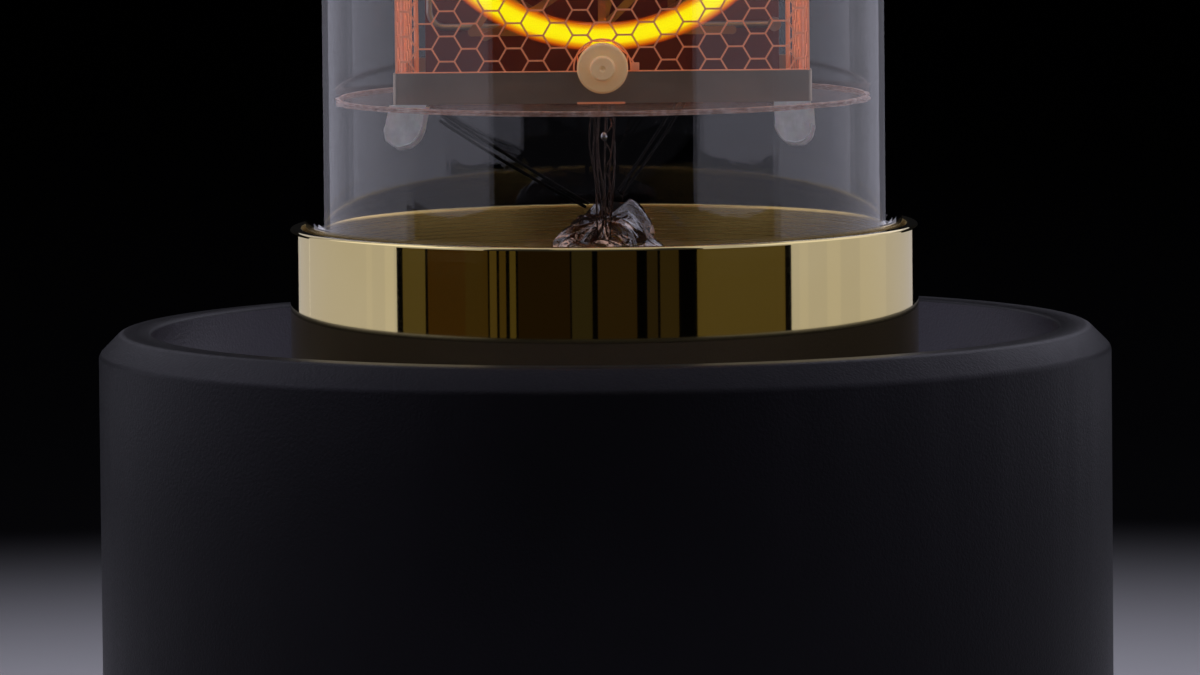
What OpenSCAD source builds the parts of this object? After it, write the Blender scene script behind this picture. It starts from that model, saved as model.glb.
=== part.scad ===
// Nixie tube clock: one large neon digit tube plugged into a round turned housing.
// Millimetres, +Z up, the digit faces -Y. The origin is the centre of the footprint
// on the table.

/* [Housing] */
// Outer diameter of the housing sleeve
housing_d = 101.2; // [98:0.4:112]
// Height of the rim above the table
housing_h = 52; // [50:1:62]
// Width and height of the bevel round the top edge
bevel = 2.2; // [1:0.2:3]
// Width of the flat ring between the bevel and the trough
rim_flat = 3.1; // [2.6:0.1:4.4]
// Depth of the trough below the rim
trough_depth = 11; // [8:0.5:13]
// Thickness of the deck plate under the trough
deck_t = 3; // [2:0.5:4]
// Width of the inner ledge that carries the deck plate
ledge_w = 6.5; // [6:0.25:8]
// Thickness of that ledge
ledge_t = 4; // [3:0.5:5]
// Thickness of the bottom cover
cover_t = 3; // [2.4:0.2:4]
// How far the cover's screws stand in from the bore
boss_inset = 4.3; // [4:0.1:4.8]

/* [Feet] */
// Diameter of a rubber foot
foot_d = 12; // [8:1:16]
// Height of a foot below the cover
foot_proud = 1.6; // [1:0.2:3]
// Depth of a foot's seat in the cover
foot_sink = 0.8; // [0.5:0.1:1.2]
// How far the middle of a foot stands in from the bore
foot_inset = 12.3; // [11:0.1:18]

/* [Rear panel] */
// Width of the recess in the back of the sleeve
recess_w = 42; // [41:0.5:44]
// Height of the recess
recess_h = 16; // [15:0.5:18]
// Depth of the recess below the sleeve's outer face
recess_depth = 6.6; // [6.4:0.1:7.2]
// Thickness of the rear plate
plate_t = 2; // [1.5:0.25:2.5]
// Distance between the two rear plate screws
plate_screw_pitch = 36.6; // [36:0.2:37.4]
// Width of the inlet shell
usb_w = 8.94; // [8.8:0.02:9.1]
// Height of the inlet shell
usb_h = 3.2; // [3.1:0.02:3.3]
// Depth of the inlet shell
usb_depth = 7.2; // [6.5:0.1:8]
// Place of the inlet to the right of the axis, seen from above
usb_x = 8.5; // [7.5:0.1:9.5]

/* [Buttons] */
// Diameter of a button cap
button_d = 3.6; // [3:0.1:4]
// Distance between two buttons
button_pitch = 5.5; // [5.2:0.1:5.8]
// Place of the button nearest the inlet
button_x = -1; // [-1.4:0.1:-0.6]
// Travel of a button
button_travel = 0.8; // [0.4:0.1:1]
// Height of a cap above the rear plate
button_proud = 0.9; // [0.8:0.1:1.4]

/* [Collar] */
// Outer diameter of the brass collar
collar_d = 62.8; // [62.8:0.2:68]
// Height of the collar above the deck plate
collar_h = 21.3; // [19:0.1:26]
// Wall of the collar
collar_wall = 1.3; // [0.9:0.1:1.3]
// Width of the collar's inner foot flange
flange_w = 3.1; // [2.8:0.1:3.6]
// Thickness of the foot flange
flange_t = 2.5; // [2.2:0.1:3]
// Thickness of the ring gasket under the tube
gasket_t = 0.8; // [0.5:0.1:1.2]

/* [Tube] */
// Outer diameter of the glass envelope
tube_d = 59.6; // [58.6:0.1:59.6]
// Wall of the glass
glass_t = 1.8; // [1.2:0.1:2]
// Height of the plug-in base under the glass
tube_base_h = 4; // [3:0.5:6]
// Height of the glass press above the glass bottom
press_h = 15.6; // [14.5:0.1:18]
// Length of the press, front to back
press_len = 23; // [22:0.5:25]
// Turn of the press about the axis
press_turn = -10.5; // [-14:0.5:-6]
// Radius of the shoulder at the foot of the dome
shoulder_r = 17; // [12:1:20]
// Radius of the crown of the dome
crown_r = 48; // [40:1:60]
// Number of contact pins
pin_count = 12; // [10:1:14]
// Diameter of a contact pin
pin_d = 1.2; // [1:0.1:1.5]
// Diameter of the pin circle
pin_circle = 36; // [32:1:38]
// Length of the pins below the base
pin_len = 8.5; // [6:0.5:9]

/* [Electrode cage] */
// Diameter of the lower mica disc
mica_d = 53.5; // [51:0.5:54]
// Thickness of a mica disc
mica_t = 0.5; // [0.3:0.1:0.8]
// Length of the leads between the press and the lower mica
lead_len = 10.7; // [9:0.1:14]
// Width of the anode box at the front
box_w = 41.8; // [38:0.2:43]
// Depth of the anode box
box_depth = 26.8; // [25:0.2:28]
// Distance from the tube's axis to the front of the box
box_front = 13.7; // [13:0.1:14]
// How far each side draws in towards the back
box_taper = 2; // [0:0.25:3]
// Height of the plain metal band at each end of the box
band_h = 3.1; // [2:0.1:4]
// Thickness of the band
band_t = 0.3; // [0.2:0.05:0.4]
// Width of one honeycomb cell, flat to flat
mesh_cell = 4.4; // [4.2:0.1:6]
// Width of the wire between two cells
mesh_wire = 0.4; // [0.2:0.05:0.8]
// Thickness of the honeycomb sheet
mesh_t = 0.2; // [0.1:0.05:0.3]
// Diameter of the front insulator
bush_d = 5; // [4:0.1:6]

/* [Digits] */
// Height of a digit, between the middles of its strokes
digit_h = 52; // [46:1:60]
// Width of the zero
zero_w = 34; // [32.5:0.5:36]
// Radius of the zero's bottom and top arcs
zero_r = 19.3; // [18.6:0.1:22]
// Width of the other digits
digit_w = 26; // [22:0.5:27]
// Width of a stroke
stroke_w = 0.8; // [0.6:0.1:1.2]
// Thickness of a digit's sheet
digit_t = 0.4; // [0.3:0.05:0.6]
// Distance from one digit to the next
digit_pitch = 2; // [1.6:0.1:2.1]
// Distance from the mica to the foot of the digits
digit_lift = 6.3; // [5.6:0.1:8]
// Diameter of the rods that hold the digits
rod_d = 1; // [0.8:0.1:1.2]

/* [Boards] */
// Thickness of both circuit boards
board_t = 1.6; // [1.2:0.2:2]
// Height of the main board above the cover
board_lift = 9.4; // [8.6:0.2:10.4]
// Room between the main board and the bore
board_room = 2.3; // [1.7:0.1:2.9]
// Room between the carrier board and the ledge
carrier_room = 0.8; // [0.4:0.1:3.8]
// Room between the carrier board and the deck plate
deck_room = 6; // [5.5:0.5:7]
// How far the board screws stand in from the ledge
standoff_inset = 7.8; // [6.8:0.1:8.8]
// Radius of the tube socket
socket_r = 22.5; // [21.5:0.5:24]
// Height of the socket above the deck plate
socket_rise = 2; // [1:0.25:2.4]

/* [Hidden] */
$fn = 96;

// Clearances
fit = 0.05;        // between a screw, rod or pin and its own hole
slack = 0.2;       // between a cover, plate or disc and the bore it drops into
run_gap = 0.15;    // between a button and its hole
pin_gap = 0.06;    // between a contact pin and its spring sleeve
seat_gap = 0.2;    // between the tube's base and its gasket
air = 0.3;         // between parts that must not touch
eps = 1;           // how far a cut runs past its faces

// Housing levels and radii
wall = bevel + rim_flat;
housing_r = housing_d / 2;
bore_r = housing_r - wall;
edge_break = 0.3;
sleeve_z0 = foot_proud;
cover_top = sleeve_z0 + cover_t;
deck_top = housing_h - trough_depth;
deck_z0 = deck_top - deck_t;
ledge_r = bore_r - ledge_w;
ledge_z0 = deck_z0 - ledge_t;
boss_circle_r = bore_r - boss_inset;
boss_r = boss_inset + 0.3;
foot_circle_r = bore_r - foot_inset;
deck_screw_r = bore_r - ledge_w * 0.54;
boss_angles = [30, 150, 270];
deck_screw_angles = [90, 210, 330];
board_z = cover_top + board_lift;
board_top = board_z + board_t;
carrier_z = deck_z0 - deck_room - board_t;
carrier_top = carrier_z + board_t;
board_gap = carrier_z - board_top;
main_board_r = bore_r - board_room;
carrier_r = ledge_r - carrier_room;
standoff_r = ledge_r - standoff_inset;
boss_top = board_z - air;

// Screws: radius of the shank, radius and height of the head
m3 = [1.5, 2.75, 1.8];
m2 = [1, 1.9, 1];
screw_bite = 2.5;

// Rear panel
recess_y = housing_r - recess_depth;
usb_z = board_top + usb_h / 2;
window_w = plate_screw_pitch - 5.6;
window_h = recess_h - 4;
plate_w = recess_w - 2 * slack;
plate_h = recess_h - 2 * slack;
plate_y1 = recess_y + plate_t;
corner_r = 2;
usb_wall = 0.3;
button_xs = [for (i = [0:2]) button_x - i * button_pitch];
button_flange_r = button_d / 2 + 0.6;
button_flange_t = 0.8;
button_stem_r = 1;
button_back = recess_y - air;
switch_y1 = button_back - button_flange_t - button_travel - air * 2;
switch_depth = button_travel + 2.6;
button_dip = 1.6;

// Collar and tube levels
collar_r = collar_d / 2;
collar_in = collar_r - collar_wall;
flange_in = collar_in - flange_w;
flange_top = deck_top + flange_t;
collar_top = deck_top + collar_h;
collar_screw_r = (flange_in + collar_in) / 2;
collar_screw_angles = [60, 180, 300];
gasket_top = flange_top + gasket_t;
tube_z0 = gasket_top + seat_gap;
glass_z0 = tube_z0 + tube_base_h;
tube_r = tube_d / 2;
glass_in = tube_r - glass_t;
socket_top = deck_top + socket_rise;
contact_wall = 0.64;

// Stem
lip_r = 24;
stem_r = 8.5;
flare_r = 7;
flare_z = glass_z0 + glass_t + flare_r;
press_top = glass_z0 + press_h;
press_r = 2.4;
press_foot_w = 13;
exhaust_r = 2.5;
exhaust_wall = 0.9;

// Cage
mica_z0 = press_top + lead_len;
box_z0 = mica_z0 + mica_t;
digit_z0 = box_z0 + digit_lift;
digit_z1 = digit_z0 + digit_h;
box_z1 = digit_z1 + digit_lift;
upper_mica_top = box_z1 + mica_t;
upper_mica_r = glass_in - 0.6;
mica_r = mica_d / 2;
box_back = box_depth - box_front;
taper_angle = atan(box_taper / box_depth);
layer_gap = 0.05;
mesh_in = band_t + layer_gap;
rod_drop = 2.8;
rod_zs = [digit_z0 - rod_drop, digit_z1 + rod_drop];
eyelet_r = 1.3;
spacer_r = 1.9;
tail_z = box_z0 + 1.1;
slot_w = 2.4;
post_d = 0.9;
lead_r = 0.25;

// Front to back order of the digits
stack = [0, 9, 6, 3, 8, 2, 5, 4, 7, 1];
stack_y0 = -(len(stack) - 1) / 2 * digit_pitch;
stack_y1 = -stack_y0;

// Digit strokes: the discs that end and join them are a little wider than a stroke
cap_r = stroke_w * 0.54;
low_r = digit_w / 2 + 0.5;
high_r = digit_h / 2 - low_r;
waist = 2 * low_r;

// Places of the parts on the boards, which spread with the boards
inductor_at = standoff_r * [0.52, 0.2];
capacitor_at = standoff_r * [0.65, -0.29];
controller_at = standoff_r * [-0.03, 0.61];
crystal_at = standoff_r * [-0.58, 0.45];
transistor_at = standoff_r * [0.4, 0.71];
driver_at = standoff_r * [0.42, 0.32];
cell_at = standoff_r * [-0.45, -0.13];

// Back-up cell
cell_r = 10;
cell_h = 3.2;
cell_floor = 1;

// Dome: the shoulder arc is tangent to the wall and to the crown arc
dome_z = upper_mica_top + 2;
crown_z = dome_z - sqrt(pow(crown_r - shoulder_r, 2) - pow(tube_r - shoulder_r, 2));

function half_w(y) = box_w / 2 - box_taper * (y + box_front) / box_depth;

// Rounded rectangle centred on the origin
module rounded(w, h, r) {
    square([w - 2 * r, h], center = true);
    square([w, h - 2 * r], center = true);
    for (x = [-1, 1], y = [-1, 1])
        translate([x * (w / 2 - r), y * (h / 2 - r)]) circle(r);
}

// Places children at a radius and at each of some angles
module around(r, angles) {
    for (a = angles)
        rotate([0, 0, a]) translate([r, 0, 0]) children();
}

// Turns a shape drawn in XY to stand in XZ with its front face at y
module standing(y, t) {
    translate([0, y + t, 0]) rotate([90, 0, 0]) linear_extrude(t) children();
}

// Cylinder along +Y from y0 to y1
module along_y(r, y0, y1) {
    translate([0, y0, 0]) rotate([-90, 0, 0]) cylinder(r = r, h = y1 - y0);
}

// Straight round rod between two points
module rod(a, b, r) {
    d = b - a;
    len = norm(d);
    translate(a) rotate([0, acos(d.z / len), atan2(d.y, d.x)]) cylinder(r = r, h = len);
}

// Pan head screw that points up from z = 0, its head below
module screw_up(size, len) {
    difference() {
        union() {
            translate([0, 0, -size[2]]) cylinder(r = size[1], h = size[2]);
            translate([0, 0, -fit]) cylinder(r = size[0], h = len + fit);
        }
        translate([0, 0, -size[2] - eps]) cylinder(r = size[0] * 0.8, h = size[2] * 0.5 + eps, $fn = 6);
    }
}

// Countersunk screw that points up from z = 0, its head flush with z = 0
module sunk_screw(size, len) {
    difference() {
        union() {
            cylinder(r1 = size[1], r2 = size[0], h = size[1] - size[0]);
            cylinder(r = size[0], h = len);
        }
        translate([0, 0, -eps]) cylinder(r = size[0] * 0.7, h = size[1] - size[0] + eps, $fn = 6);
    }
}

// The hole that takes such a screw
module sunk_hole(size, len) {
    translate([0, 0, -fit]) cylinder(r1 = size[1] + 2 * fit, r2 = size[0] + fit, h = size[1] - size[0] + fit);
    translate([0, 0, -eps]) cylinder(r = size[0] + fit, h = len + eps);
}

module housing_sleeve() {
    color("#26262b") difference() {
        union() {
            rotate_extrude() polygon([
                [bore_r, sleeve_z0],
                [housing_r - edge_break, sleeve_z0],
                [housing_r, sleeve_z0 + edge_break],
                [housing_r, housing_h - bevel],
                [housing_r - bevel, housing_h],
                [bore_r + edge_break, housing_h],
                [bore_r, housing_h - edge_break],
                [bore_r, deck_z0],
                [ledge_r, deck_z0],
                [ledge_r, ledge_z0],
                [bore_r, ledge_z0]
            ]);
            around(boss_circle_r, boss_angles)
                translate([0, 0, cover_top]) cylinder(r = boss_r, h = boss_top - cover_top);
        }
        around(boss_circle_r, boss_angles)
            translate([0, 0, cover_top - eps]) cylinder(r = m3[0] + fit, h = boss_top - cover_top - 1 + eps);
        around(deck_screw_r, deck_screw_angles)
            translate([0, 0, ledge_z0 - eps]) cylinder(r = m3[0] + fit, h = ledge_t + 2 * eps);
        translate([0, 0, usb_z]) standing(recess_y, housing_r) rounded(recess_w, recess_h, corner_r);
        translate([0, 0, usb_z]) standing(recess_y - 8, housing_r) rounded(window_w, window_h, corner_r);
        for (s = [-1, 1])
            translate([s * plate_screw_pitch / 2, 0, usb_z]) along_y(m2[0] + fit, recess_y - 8, recess_y + eps);
    }
}

module deck_plate() {
    color("#1d1d21") difference() {
        translate([0, 0, deck_z0]) cylinder(r = bore_r - slack, h = deck_t);
        translate([0, 0, deck_z0 - eps]) cylinder(r = socket_r + 2 * slack, h = deck_t + 2 * eps);
        around(deck_screw_r, deck_screw_angles)
            translate([0, 0, deck_z0 - eps]) cylinder(r = m3[0] + fit, h = deck_t - 0.5 + eps);
        around(collar_screw_r, collar_screw_angles)
            translate([0, 0, deck_z0 - eps]) cylinder(r = m2[0] + fit, h = deck_t + 2 * eps);
    }
}

module deck_screws() {
    color("silver") around(deck_screw_r, deck_screw_angles)
        translate([0, 0, ledge_z0]) screw_up(m3, ledge_t + deck_t - 0.5 - fit);
}

module bottom_cover() {
    color("#202024") difference() {
        translate([0, 0, sleeve_z0]) cylinder(r = bore_r - slack, h = cover_t);
        around(boss_circle_r, boss_angles)
            translate([0, 0, sleeve_z0]) sunk_hole(m3, cover_t + eps);
        around(foot_circle_r, [45, 135, 225, 315])
            translate([0, 0, sleeve_z0 - eps]) cylinder(d = foot_d + slack, h = foot_sink + eps);
        for (i = [-3:3])
            translate([i * 3.2 - 0.7, -9, sleeve_z0 - eps]) cube([1.4, 18, cover_t + 2 * eps]);
    }
}

module cover_screws() {
    color("silver") around(boss_circle_r, boss_angles)
        translate([0, 0, sleeve_z0]) sunk_screw(m3, boss_top - sleeve_z0 - screw_bite);
}

module rubber_feet() {
    h = foot_proud + foot_sink;
    color("#2b2b2b") around(foot_circle_r, [45, 135, 225, 315]) {
        rotate_extrude() polygon([
            [0, 0],
            [foot_d / 2 - 0.6, 0],
            [foot_d / 2, 0.6],
            [foot_d / 2, h],
            [0, h]
        ]);
    }
}

module rear_plate() {
    color("#2d2d33") difference() {
        translate([0, 0, usb_z]) standing(recess_y, plate_t) rounded(plate_w, plate_h, corner_r);
        translate([usb_x, 0, usb_z]) standing(recess_y - eps, plate_t + 2 * eps)
            rounded(usb_w + 2 * slack, usb_h + 2 * slack, (usb_h + 2 * slack) * 0.45);
        for (x = button_xs)
            translate([x, 0, usb_z]) along_y(button_d / 2 + run_gap, recess_y - eps, plate_y1 + eps);
        for (s = [-1, 1])
            translate([s * plate_screw_pitch / 2, plate_y1, usb_z]) rotate([90, 0, 0]) sunk_hole(m2, plate_t + eps);
    }
}

module plate_screws() {
    color("silver") for (s = [-1, 1])
        translate([s * plate_screw_pitch / 2, plate_y1, usb_z]) rotate([90, 0, 0]) sunk_screw(m2, plate_t + screw_bite);
}

module brass_collar() {
    lip = 0.4;
    color("#c9a227") difference() {
        rotate_extrude() polygon([
            [flange_in, deck_top],
            [collar_r, deck_top],
            [collar_r, collar_top - lip],
            [collar_r - lip, collar_top],
            [collar_in + lip / 2, collar_top],
            [collar_in, collar_top - lip / 2],
            [collar_in, flange_top],
            [flange_in, flange_top]
        ]);
        around(collar_screw_r, collar_screw_angles)
            translate([0, 0, deck_top - eps]) cylinder(r = m2[0] + fit, h = flange_t - 0.5 + eps);
    }
}

module collar_screws() {
    color("silver") around(collar_screw_r, collar_screw_angles)
        translate([0, 0, deck_z0]) screw_up(m2, deck_t + flange_t - 0.5 - fit);
}

module collar_gasket() {
    color("#3a3a3a") difference() {
        translate([0, 0, flange_top]) cylinder(r = collar_in - slack, h = gasket_t);
        translate([0, 0, flange_top - eps]) cylinder(r = flange_in + slack, h = gasket_t + 2 * eps);
    }
}

module main_board() {
    color("#0f3d2e") difference() {
        translate([0, 0, board_z]) cylinder(r = main_board_r, h = board_t);
        around(boss_circle_r, boss_angles)
            translate([0, 0, board_z - eps]) cylinder(r = boss_r + 2 * air, h = board_t + 2 * eps);
        translate([-recess_w / 2, switch_y1, board_z - eps]) cube([recess_w, bore_r, board_t + 2 * eps]);
        around(standoff_r, [45, 135, 225, 315])
            translate([0, 0, board_z - eps]) cylinder(r = m3[0] + fit, h = board_t + 2 * eps);
    }
}

// Hexagonal spacers: short ones on the cover, with a stud, and long ones between the boards
module board_standoffs() {
    hex_r = 3.2;
    long = board_gap;
    color("#b08d3c") around(standoff_r, [45, 135, 225, 315]) {
        translate([0, 0, cover_top]) cylinder(r = hex_r, h = board_lift, $fn = 6);
        translate([0, 0, board_z]) cylinder(r = m3[0], h = board_t + 3);
        translate([0, 0, board_top]) difference() {
            cylinder(r = hex_r, h = long, $fn = 6);
            translate([0, 0, -eps]) cylinder(r = m3[0] + fit, h = 3 + fit + eps);
            translate([0, 0, long - 5]) cylinder(r = m3[0] + fit, h = 5 + eps);
        }
    }
}

module board_screws() {
    color("silver") around(standoff_r, [45, 135, 225, 315])
        translate([0, 0, carrier_top]) rotate([180, 0, 0]) screw_up(m3, board_t + 4.5);
}

module carrier_board() {
    color("#0f3d2e") difference() {
        translate([0, 0, carrier_z]) cylinder(r = carrier_r, h = board_t);
        around(standoff_r, [45, 135, 225, 315])
            translate([0, 0, carrier_z - eps]) cylinder(r = m3[0] + fit, h = board_t + 2 * eps);
    }
}

module tube_socket() {
    h = socket_top - carrier_top;
    color("#2a1c14") difference() {
        rotate_extrude() polygon([
            [stem_r, carrier_top],
            [socket_r, carrier_top],
            [socket_r, socket_top - 0.5],
            [socket_r - 0.5, socket_top],
            [stem_r, socket_top]
        ]);
        around(pin_circle / 2, [for (i = [0:pin_count - 1]) (i + 0.5) * 360 / pin_count])
            translate([0, 0, carrier_top - eps])
            cylinder(r = pin_d / 2 + pin_gap + contact_wall + fit, h = h + 2 * eps);
    }
}

module socket_contacts() {
    h = socket_top - carrier_top;
    color("#d9b44a") around(pin_circle / 2, [for (i = [0:pin_count - 1]) (i + 0.5) * 360 / pin_count])
        translate([0, 0, carrier_top]) difference() {
            cylinder(r = pin_d / 2 + pin_gap + contact_wall, h = h);
            translate([0, 0, 0.8]) cylinder(r = pin_d / 2 + pin_gap, h = h);
        }
}

module board_header() {
    pitch = 2.54;
    count = 10;
    rows = 2;
    y = -(standoff_r - 1);
    color("#1a1a1a") difference() {
        translate([-count * pitch / 2, y - rows * pitch / 2, board_top])
            cube([count * pitch, rows * pitch, board_gap]);
        translate([-count * pitch / 2 - eps, y - rows * pitch / 2 - eps, board_top + board_gap * 0.6])
            cube([count * pitch + 2 * eps, 1 + eps, 0.4]);
    }
}

module usb_inlet() {
    r = usb_h * 0.45;
    y0 = plate_y1 - usb_depth;
    tongue_t = 0.7;
    color("silver") difference() {
        translate([usb_x, 0, usb_z]) standing(y0, usb_depth) rounded(usb_w, usb_h, r);
        translate([usb_x, 0, usb_z]) standing(y0 + 1, usb_depth)
            rounded(usb_w - 2 * usb_wall, usb_h - 2 * usb_wall, r - usb_wall);
    }
    color("#151515") translate([usb_x - usb_w * 0.375, y0 + 1, usb_z - tongue_t / 2])
        cube([usb_w * 0.75, usb_depth - 1.8, tongue_t]);
}

module switch_bodies() {
    w = button_pitch - 0.9;
    color("#333333") for (x = button_xs)
        difference() {
            translate([x - w / 2, switch_y1 - switch_depth, board_top]) cube([w, switch_depth, usb_h + 1]);
            translate([x, 0, usb_z]) along_y(button_stem_r + run_gap, switch_y1 - switch_depth + 0.6, switch_y1 + eps);
        }
}

// Push button that runs through the rear plate into its switch
module button(i) {
    face = plate_y1 + button_proud;
    color("#8d8d94") translate([button_xs[i], 0, usb_z]) rotate([-90, 0, 0]) rotate_extrude() polygon([
        [0, switch_y1 - button_dip],
        [button_stem_r, switch_y1 - button_dip],
        [button_stem_r, button_back - button_flange_t],
        [button_flange_r, button_back - button_flange_t],
        [button_flange_r, button_back],
        [button_d / 2, button_back],
        [button_d / 2, face - 0.3],
        [button_d / 2 - 0.3, face],
        [0, face]
    ]);
}

module set_button() { button(0); }
module up_button() { button(1); }
module down_button() { button(2); }

module boost_inductor() {
    w = 12;
    h = 6;
    groove = 0.8;
    groove_r = w / 2 - 1;
    color("#3b3b3f") translate([inductor_at.x, inductor_at.y, board_top]) difference() {
        linear_extrude(h) rounded(w, w, corner_r);
        translate([0, 0, h - groove]) difference() {
            cylinder(r = groove_r, h = groove + eps);
            cylinder(r = groove_r - groove, h = groove + eps);
        }
    }
}

module reservoir_capacitor() {
    r = 5;
    h = board_gap * 0.74;
    crimp_z = 1.4;
    crimp = 0.4;
    edge = 0.5;
    color("#1c2a4a") translate([capacitor_at.x, capacitor_at.y, board_top]) rotate_extrude() polygon([
        [0, 0],
        [r, 0],
        [r, crimp_z - crimp],
        [r - crimp, crimp_z],
        [r, crimp_z + crimp],
        [r, h - edge],
        [r - edge, h],
        [0, h]
    ]);
}

module controller_chip() {
    legs = 8;
    pitch = 1;
    leg_w = 0.4;
    leg_t = 0.25;
    reach = 1;
    w = 9;
    h = 1.3;
    color("#161616") translate([controller_at.x, controller_at.y, board_top]) {
        translate([-w / 2, -w / 2, leg_t / 2]) cube([w, w, h]);
        for (i = [0:legs - 1])
            translate([(i - (legs - 1) / 2) * pitch - leg_w / 2, -w / 2 - reach, 0])
                cube([leg_w, w + 2 * reach, leg_t]);
    }
}

module driver_chips() {
    legs = 10;
    pitch = 1.27;
    leg_w = 0.4;
    leg_t = 0.3;
    reach = 1.3;
    w = 13;
    d = 7.6;
    h = 2.4;
    color("#161616") for (s = [-1, 1])
        translate([s * driver_at.x, driver_at.y, carrier_z]) {
            translate([-w / 2, -d / 2, -h - leg_t / 2]) cube([w, d, h]);
            for (i = [0:legs - 1])
                translate([(i - (legs - 1) / 2) * pitch - leg_w / 2, -d / 2 - reach, -leg_t])
                    cube([leg_w, d + 2 * reach, leg_t]);
        }
}

module clock_crystal() {
    r = 1.5;
    len = 8;
    color("silver") translate([crystal_at.x, crystal_at.y, board_top + r]) rotate([0, 90, 0])
        cylinder(r = r, h = len);
}

module power_transistor() {
    body = [6.6, 6, 2.3];
    leg = [0.8, 3, 0.6];
    leg_x = 2.3;
    color("#161616") translate([transistor_at.x, transistor_at.y, board_top]) {
        translate([-body.x / 2, -body.y / 2, 0]) cube(body);
        for (s = [-1, 1])
            translate([s * leg_x - leg.x / 2, -body.y / 2 - leg.y + 0.4, 0]) cube(leg);
    }
}

module cell_holder() {
    wall_t = 1.4;
    notch_w = 8;
    color("#222226") translate([cell_at.x, cell_at.y, board_top]) difference() {
        cylinder(r = cell_r + wall_t, h = cell_h + cell_floor + 0.4);
        translate([0, 0, cell_floor]) cylinder(r = cell_r + fit * 2, h = cell_h + eps);
        translate([-notch_w / 2, cell_r - 2, cell_floor]) cube([notch_w, 2 + wall_t + eps, cell_h + eps]);
    }
}

module coin_cell() {
    color("#d6d6d6") translate([cell_at.x, cell_at.y, board_top + cell_floor]) union() {
        cylinder(r = cell_r, h = cell_h * 0.8);
        cylinder(r = cell_r - 1.3, h = cell_h);
    }
}

module tube_base() {
    color("#241a15") difference() {
        translate([0, 0, tube_z0]) cylinder(r = tube_r - 0.4, h = tube_base_h);
        translate([0, 0, tube_z0 - eps]) cylinder(r = exhaust_r + 3, h = tube_base_h + 2 * eps);
        around(pin_circle / 2, [for (i = [0:pin_count - 1]) (i + 0.5) * 360 / pin_count])
            translate([0, 0, tube_z0 - eps]) cylinder(r = pin_d / 2 + fit, h = tube_base_h + 2 * eps);
    }
}

module contact_pins() {
    tip = 0.5;
    color("#d9b44a") around(pin_circle / 2, [for (i = [0:pin_count - 1]) (i + 0.5) * 360 / pin_count])
        translate([0, 0, tube_z0 - pin_len]) union() {
            cylinder(r1 = pin_d / 2 - 0.25, r2 = pin_d / 2, h = tip);
            translate([0, 0, tip]) cylinder(r = pin_d / 2, h = pin_len + tube_base_h - tip);
        }
}

// Half outline of a tube of radius r with a domed top; grow moves every face inwards
module dome_outline(z0, grow) {
    r = tube_r - grow;
    rs = shoulder_r - grow;
    rc = crown_r - grow;
    lean = atan2(tube_r - shoulder_r, dome_z - crown_z);
    translate([0, z0]) square([r, dome_z - z0]);
    translate([tube_r - shoulder_r, dome_z]) intersection() {
        circle(rs, $fn = 180);
        square([rs, rs]);
    }
    translate([0, crown_z]) intersection() {
        circle(rc, $fn = 360);
        polygon([[0, 0], [2 * rc * sin(lean), 2 * rc * cos(lean)], [0, 2 * rc]]);
    }
}

module glass_envelope() {
    color([0.75, 0.8, 0.85, 0.3]) rotate_extrude($fn = 180) difference() {
        dome_outline(glass_z0, 0);
        dome_outline(glass_z0 + glass_t, glass_t);
        translate([-eps, glass_z0 - eps]) square([lip_r + eps, glass_t + 2 * eps]);
    }
}

// Flared stem that closes the bottom of the tube, with the flattened press on top
module glass_stem() {
    color([0.7, 0.75, 0.8, 0.5]) union() {
        rotate_extrude() {
            translate([stem_r + flare_r, glass_z0]) square([lip_r - fit - stem_r - flare_r, glass_t]);
            translate([stem_r + flare_r, flare_z]) intersection() {
                difference() {
                    circle(flare_r + glass_t);
                    circle(flare_r);
                }
                translate([-flare_r - glass_t, -flare_r - glass_t]) square(flare_r + glass_t);
            }
        }
        rotate([0, 0, press_turn]) hull() {
            for (s = [-1, 1]) {
                translate([0, s * (press_len / 2 - press_foot_w / 2), flare_z - 0.5])
                    cylinder(d = press_foot_w, h = 1, $fn = 32);
                translate([0, s * (press_len / 2 - press_r), press_top - press_r])
                    sphere(press_r, $fn = 32);
            }
        }
    }
}

module exhaust_tube() {
    z0 = tube_z0 + 1;
    z1 = flare_z - 0.5 - air;
    color([0.75, 0.8, 0.85, 0.5]) rotate_extrude() {
        translate([exhaust_r - exhaust_wall, z0 + exhaust_r])
            square([exhaust_wall, z1 - z0 - exhaust_r]);
        translate([0, z0 + exhaust_r]) intersection() {
            difference() {
                circle(exhaust_r);
                circle(exhaust_r - exhaust_wall);
            }
            translate([0, -exhaust_r]) square(exhaust_r);
        }
    }
}

// One lead for each digit
module stem_leads() {
    color("#4a4038") for (i = [0:len(stack) - 1])
        translate([0, stack_y0 + i * digit_pitch, press_top])
            cylinder(r = lead_r, h = tail_z - press_top - fit, $fn = 24);
}

// Stout wires from the ends of the press to the mica, which carry the cage
module support_wires() {
    r = 0.5;
    reach = press_len / 2 - press_r;
    foot = reach * [sin(press_turn), -cos(press_turn)];
    z0 = press_top + r + air;
    z1 = mica_z0 - r - fit;
    color("#5a5a60") {
        rod([foot.x, foot.y, z0], [-mica_r * 0.58, -mica_r * 0.68, z1], r);
        rod([-foot.x, -foot.y, z0], [mica_r * 0.32, mica_r * 0.68, z1], r);
    }
}

// Corner posts of the box, drawn in its plan
module post_places() {
    inset = mesh_in + mesh_t + air + post_d / 2;
    for (s = [-1, 1]) {
        translate([s * (half_w(-box_front + inset) - inset), -box_front + inset]) children();
        translate([s * (half_w(box_back - inset) - inset), box_back - inset]) children();
    }
}

module mica_plan(r) {
    difference() {
        circle(r, $fn = 180);
        square([slot_w, stack_y1 - stack_y0 + slot_w], center = true);
        post_places() circle(post_d / 2 + fit, $fn = 24);
    }
}

module lower_mica() {
    color([0.8, 0.7, 0.65, 0.7]) translate([0, 0, mica_z0]) linear_extrude(mica_t) mica_plan(mica_r);
}

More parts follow.
